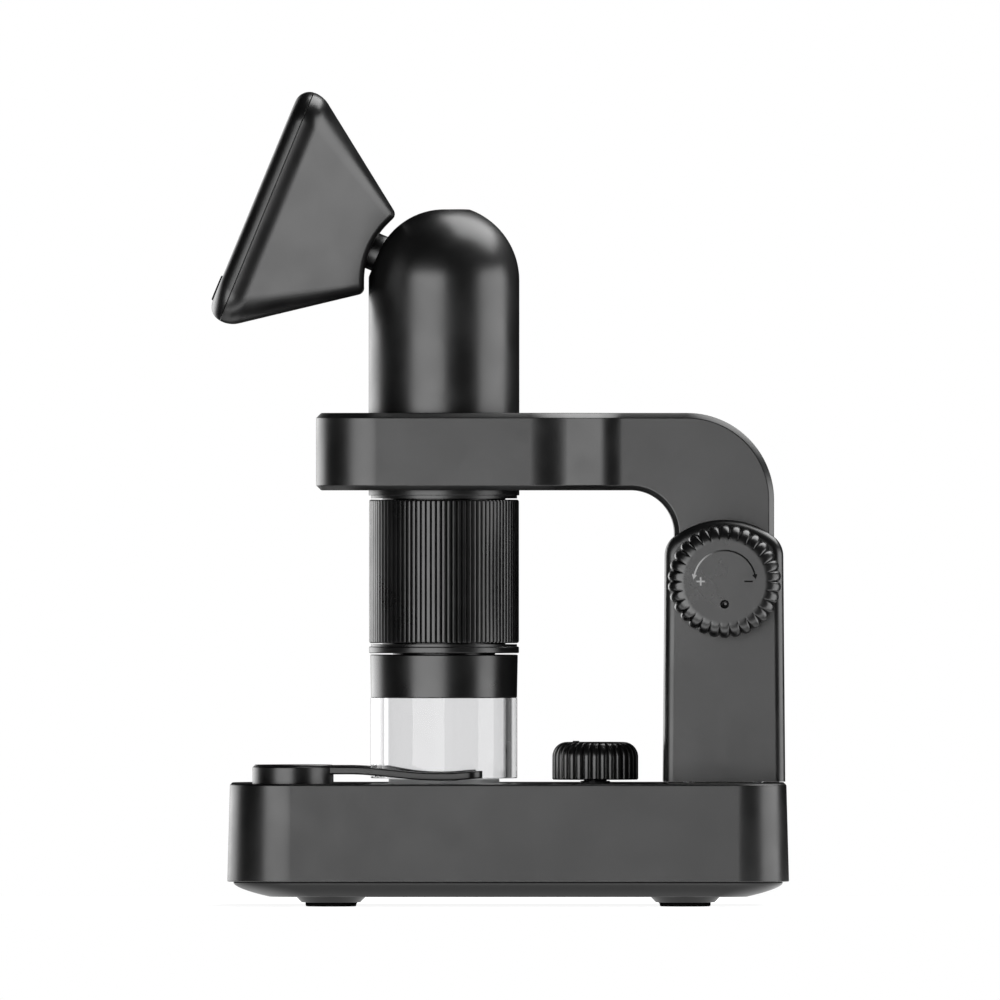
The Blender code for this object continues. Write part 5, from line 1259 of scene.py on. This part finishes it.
def make_head_shell(frame, chamfer):
    """Tapered rear housing, hollowed to clear the dome."""
    turns = [radians(HEAD_TAPER * index / 10) for index in range(11)]
    bends = [HEAD_WIDEST - HEAD_REAR_EDGE * sin(turn) for turn in turns]
    bends = [distance for distance in bends if distance < HEAD_SEAM - HEAD_SEAM_WIDTH]
    rings = [head_ring(HEAD_FLOOR, HEAD_WALL), head_ring(bends[-1], HEAD_WALL),
             head_ring(HEAD_SEAM, HEAD_WALL), head_ring(HEAD_SEAM, chamfer)]
    rings += [head_ring(distance) for distance in [HEAD_SEAM - chamfer, *bends, HEAD_BACK - WALL]]
    shell = skin("head_housing", rings)
    reach = HEAD_HALF + OVERCUT
    hollow = sideways(rod("hollow", HEAD_BACK_RADIUS, -reach, reach, 192))
    cut(shell, hollow, rod("hole", STALK_RADIUS + GAP, 0, HEAD_FLOOR + OVERCUT))
    ease_hollow(shell)
    show(moved(shell, frame), "satin_black", "screen_head", "head_rear_shell")


def glass_prism(name, low, high, margin=0.0):
    """A block with the outline of the cover glass, grown by a margin."""
    outline = centred_outline(GLASS_WIDTH, GLASS_HEIGHT, GLASS_CORNER, 0, GLASS_RISE, margin)
    return prism(name, outline, low, high)


def make_head():
    """Rear housing, front frame, cover glass and buttons of the screen head."""
    frame = head_frame()
    chamfer = HEAD_SEAM_WIDTH / 2
    make_head_shell(frame, chamfer)
    seam = HEAD_SEAM + GAP
    rim = HEAD_SEAM + HEAD_SEAM_WIDTH
    first = asin((rim - HEAD_WIDEST) / HEAD_EDGE)
    turns = [first + (pi / 2 - first) * index / 14 for index in range(1, 15)]
    rings = [head_ring(rim, chamfer), head_ring(rim + chamfer)]
    rings += [head_ring(HEAD_WIDEST + HEAD_EDGE * sin(turn)) for turn in turns]
    bezel = skin("head_frame", rings)
    front = HEAD_FRONT + OVERCUT
    glass_back = HEAD_FRONT - GLASS_THICKNESS
    tools = [glass_prism("recess", glass_back - GAP, front, GAP),
             glass_prism("window", HEAD_SEAM, front, -GLASS_LEDGE),
             glass_prism("pocket", HEAD_SEAM, seam + PANEL_POCKET, PANEL_MARGIN + GAP)]
    places = [-BUTTON_SPACING, 0, BUTTON_SPACING]
    skirt_top = seam + BUTTON_SKIRT
    wide = BUTTON_RADIUS + BUTTON_SKIRT
    profile = [(0, front), (BUTTON_RADIUS + GAP, front), (BUTTON_RADIUS + GAP, skirt_top + GAP),
               (wide + GAP, skirt_top + GAP), (wide + GAP, HEAD_SEAM), (0, HEAD_SEAM)]
    for x in places:
        tools.append(at(turned("button_hole", profile, 64), x, -BUTTON_DROP))
    cut(bezel, *tools)
    show(moved(bezel, frame), "satin_black", "screen_head", "head_bezel")
    glass = glass_prism("cover_glass", glass_back, HEAD_FRONT)
    soften(glass, SOFT_EDGE)
    show(moved(glass, frame), "screen_glass", "screen_head", "display_glass")
    tip = HEAD_FRONT + BUTTON_PROUD
    core = BUTTON_RADIUS / 2
    profile = [(0, tip), (BUTTON_RADIUS, tip, BUTTON_EDGE), (BUTTON_RADIUS, skirt_top),
               (wide, skirt_top), (wide, seam), (core, seam), (core, BUTTON_FOOT_Z),
               (0, BUTTON_FOOT_Z)]
    for number, x in enumerate(places, 1):
        button = at(turned(f"push_button_{number}", profile, 64), x, -BUTTON_DROP)
        show(moved(button, frame), "rubber", f"button_{number}", f"screen_button_{number}")


def dress_nodes(frame):
    """Give every CAD node that stays shown the finish of its own slot."""
    for part in frame["record"]["subparts"]:
        for place in frame["nodes"][part["node"]].material_slots:
            place.material = FINISH[part["material_slot"]]


def make_floor():
    """A plain pale floor that keeps the shadow and is white to the eye."""
    data = bpy.data.meshes.new("floor")
    half = FLOOR_HALF
    data.from_pydata([(-half, -half, 0), (half, -half, 0), (half, half, 0), (-half, half, 0)], [],
                     [(0, 1, 2, 3)])
    shader = new_material("floor_white")
    path = add_node(shader, "LightPath").outputs
    place = add_node(shader, "TexCoord").outputs["Object"]
    # Mirrored in the object: a pool of light round it, and a brighter strip before it
    scaled = add_node(shader, "Mapping", {"Scale": (1 / 0.100, 1 / 0.080, 1), "Vector": place})
    length = add_node(shader, "VectorMath", {0: scaled.outputs["Vector"]})
    length.operation = "LENGTH"
    pool = ranged(length.outputs["Value"], 0.9, 1.5, 0.85, 0.05)
    depth = parted(place)["Y"]
    near = ranged(depth, -0.075, -0.048, 2.3, 0.0)
    far = ranged(depth, -0.115, -0.090, 0.0, 1.0)
    glow = calc("ADD", pool, product(near, far))
    seen = calc("MAXIMUM", path["Is Camera Ray"], path["Is Transmission Ray"])
    feed(shader, {
        "Base Color": (0.45, 0.45, 0.45, 1),
        "Roughness": 0.9,
        "Specular IOR Level": 0.0,
        "Emission Color": WHITE,
        "Emission Strength": calc("ADD", product(path["Is Glossy Ray"], glow),
                                  product(seen, 0.90))})
    data.materials.append(FINISH["floor_white"])
    put_in_scene("floor", data)


def make_world():
    """White behind the object for the eye and for glass, with a dark studio round it."""
    world = bpy.data.worlds.new("studio")
    bpy.context.scene.world = world
    world.use_nodes = True
    tree = world.node_tree
    tree.nodes.clear()
    path = add_node(tree, "LightPath").outputs
    way = parted(add_node(tree, "TexCoord").outputs["Generated"])
    # Mirrored in the object: a bright upright panel behind it on the left
    lean = calc("ADD", product(way["X"], -0.588), product(way["Y"], 0.809))
    panel = ranged(lean, 0.85, 0.94, 0.02, 3.4)
    band = ranged(calc("ABSOLUTE", way["Z"]), 0.10, 0.40, 1.0, 0.01)
    fade = ranged(way["X"], -0.50, -0.15, 1.0, 0.30)
    glossy = mixed(path["Is Glossy Ray"], 0.12, product(panel, band, fade))
    # Seen through the hood: white, with a dark flag on the right and a thin line on the left
    flag = ranged(way["X"], 0.36, 0.52, 1.0, 0.10)
    offset = calc("ABSOLUTE", calc("ADD", way["X"], 0.34))
    line = ranged(offset, 0.04, 0.09, 0.05, 1.0)
    through = product(path["Is Transmission Ray"], flag, line)
    seen = calc("MAXIMUM", path["Is Camera Ray"], through)
    glow = add_node(tree, "Background", {"Color": WHITE, "Strength": mixed(seen, glossy, 1.0)})
    add_node(tree, "OutputWorld", {"Surface": glow.outputs[0]})


def add_softbox(name, azimuth, elevation, width, height, radiance):
    """A soft lamp of a width and height in degrees. Azimuth is counted from the camera's left."""
    lamp = bpy.data.lights.new(name, "AREA")
    lamp.shape = "RECTANGLE"
    lamp.size = 2 * LAMP_DISTANCE * tan(radians(width / 2))
    lamp.size_y = 2 * LAMP_DISTANCE * tan(radians(height / 2))
    lamp.energy = radiance * pi * lamp.size * lamp.size_y
    level, rise = polar(1, radians(elevation))
    y, x = polar(level, radians(azimuth))
    way = Vector((-x, -y, rise))
    holder = put_in_scene(name, lamp)
    holder.location = Vector((0, 0, LAMP_AIM_Z)) + way * LAMP_DISTANCE
    holder.rotation_mode = "QUATERNION"
    holder.rotation_quaternion = (-way).to_track_quat("-Z", "Y")
    holder.visible_camera = False
    holder.visible_transmission = False


def make_camera():
    """Long lens, level with the middle of the object."""
    view = bpy.data.cameras.new("camera")
    view.type = "PERSP"
    view.sensor_width = CAMERA_SENSOR
    view.lens = CAMERA_LENS
    view.clip_start = 0.1
    view.clip_end = 100
    holder = put_in_scene("camera", view)
    holder.location = (0, -CAMERA_FIELD * CAMERA_LENS / CAMERA_SENSOR, CAMERA_Z)
    holder.rotation_euler = (pi / 2, 0, 0)
    bpy.context.scene.camera = holder


def main():
    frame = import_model()
    add_finishes()
    dress_nodes(frame)
    make_base_housing()
    make_bottom_cover()
    make_feet()
    make_screws()
    make_battery_door()
    make_stage_glass()
    make_dimmer()
    make_clip("stage_clip_near", -1)
    make_clip("stage_clip_far", 1)
    make_column()
    make_arm()
    make_focus_knob("focus_knob_near", False)
    make_focus_knob("focus_knob_far", True)
    make_tube()
    make_barrel()
    make_focus_ring()
    make_nose()
    make_lens()
    make_tilt_ball()
    make_head()
    make_floor()
    make_world()
    add_softbox("key_light", 25, -12, 52, 50, 5.4)
    add_softbox("side_light", -82, -16, 54, 60, 4.4)
    add_softbox("top_light", -119, 58, 46, 50, 6.2)
    make_camera()
    bpy.context.scene.view_settings.view_transform = "Standard"


main()
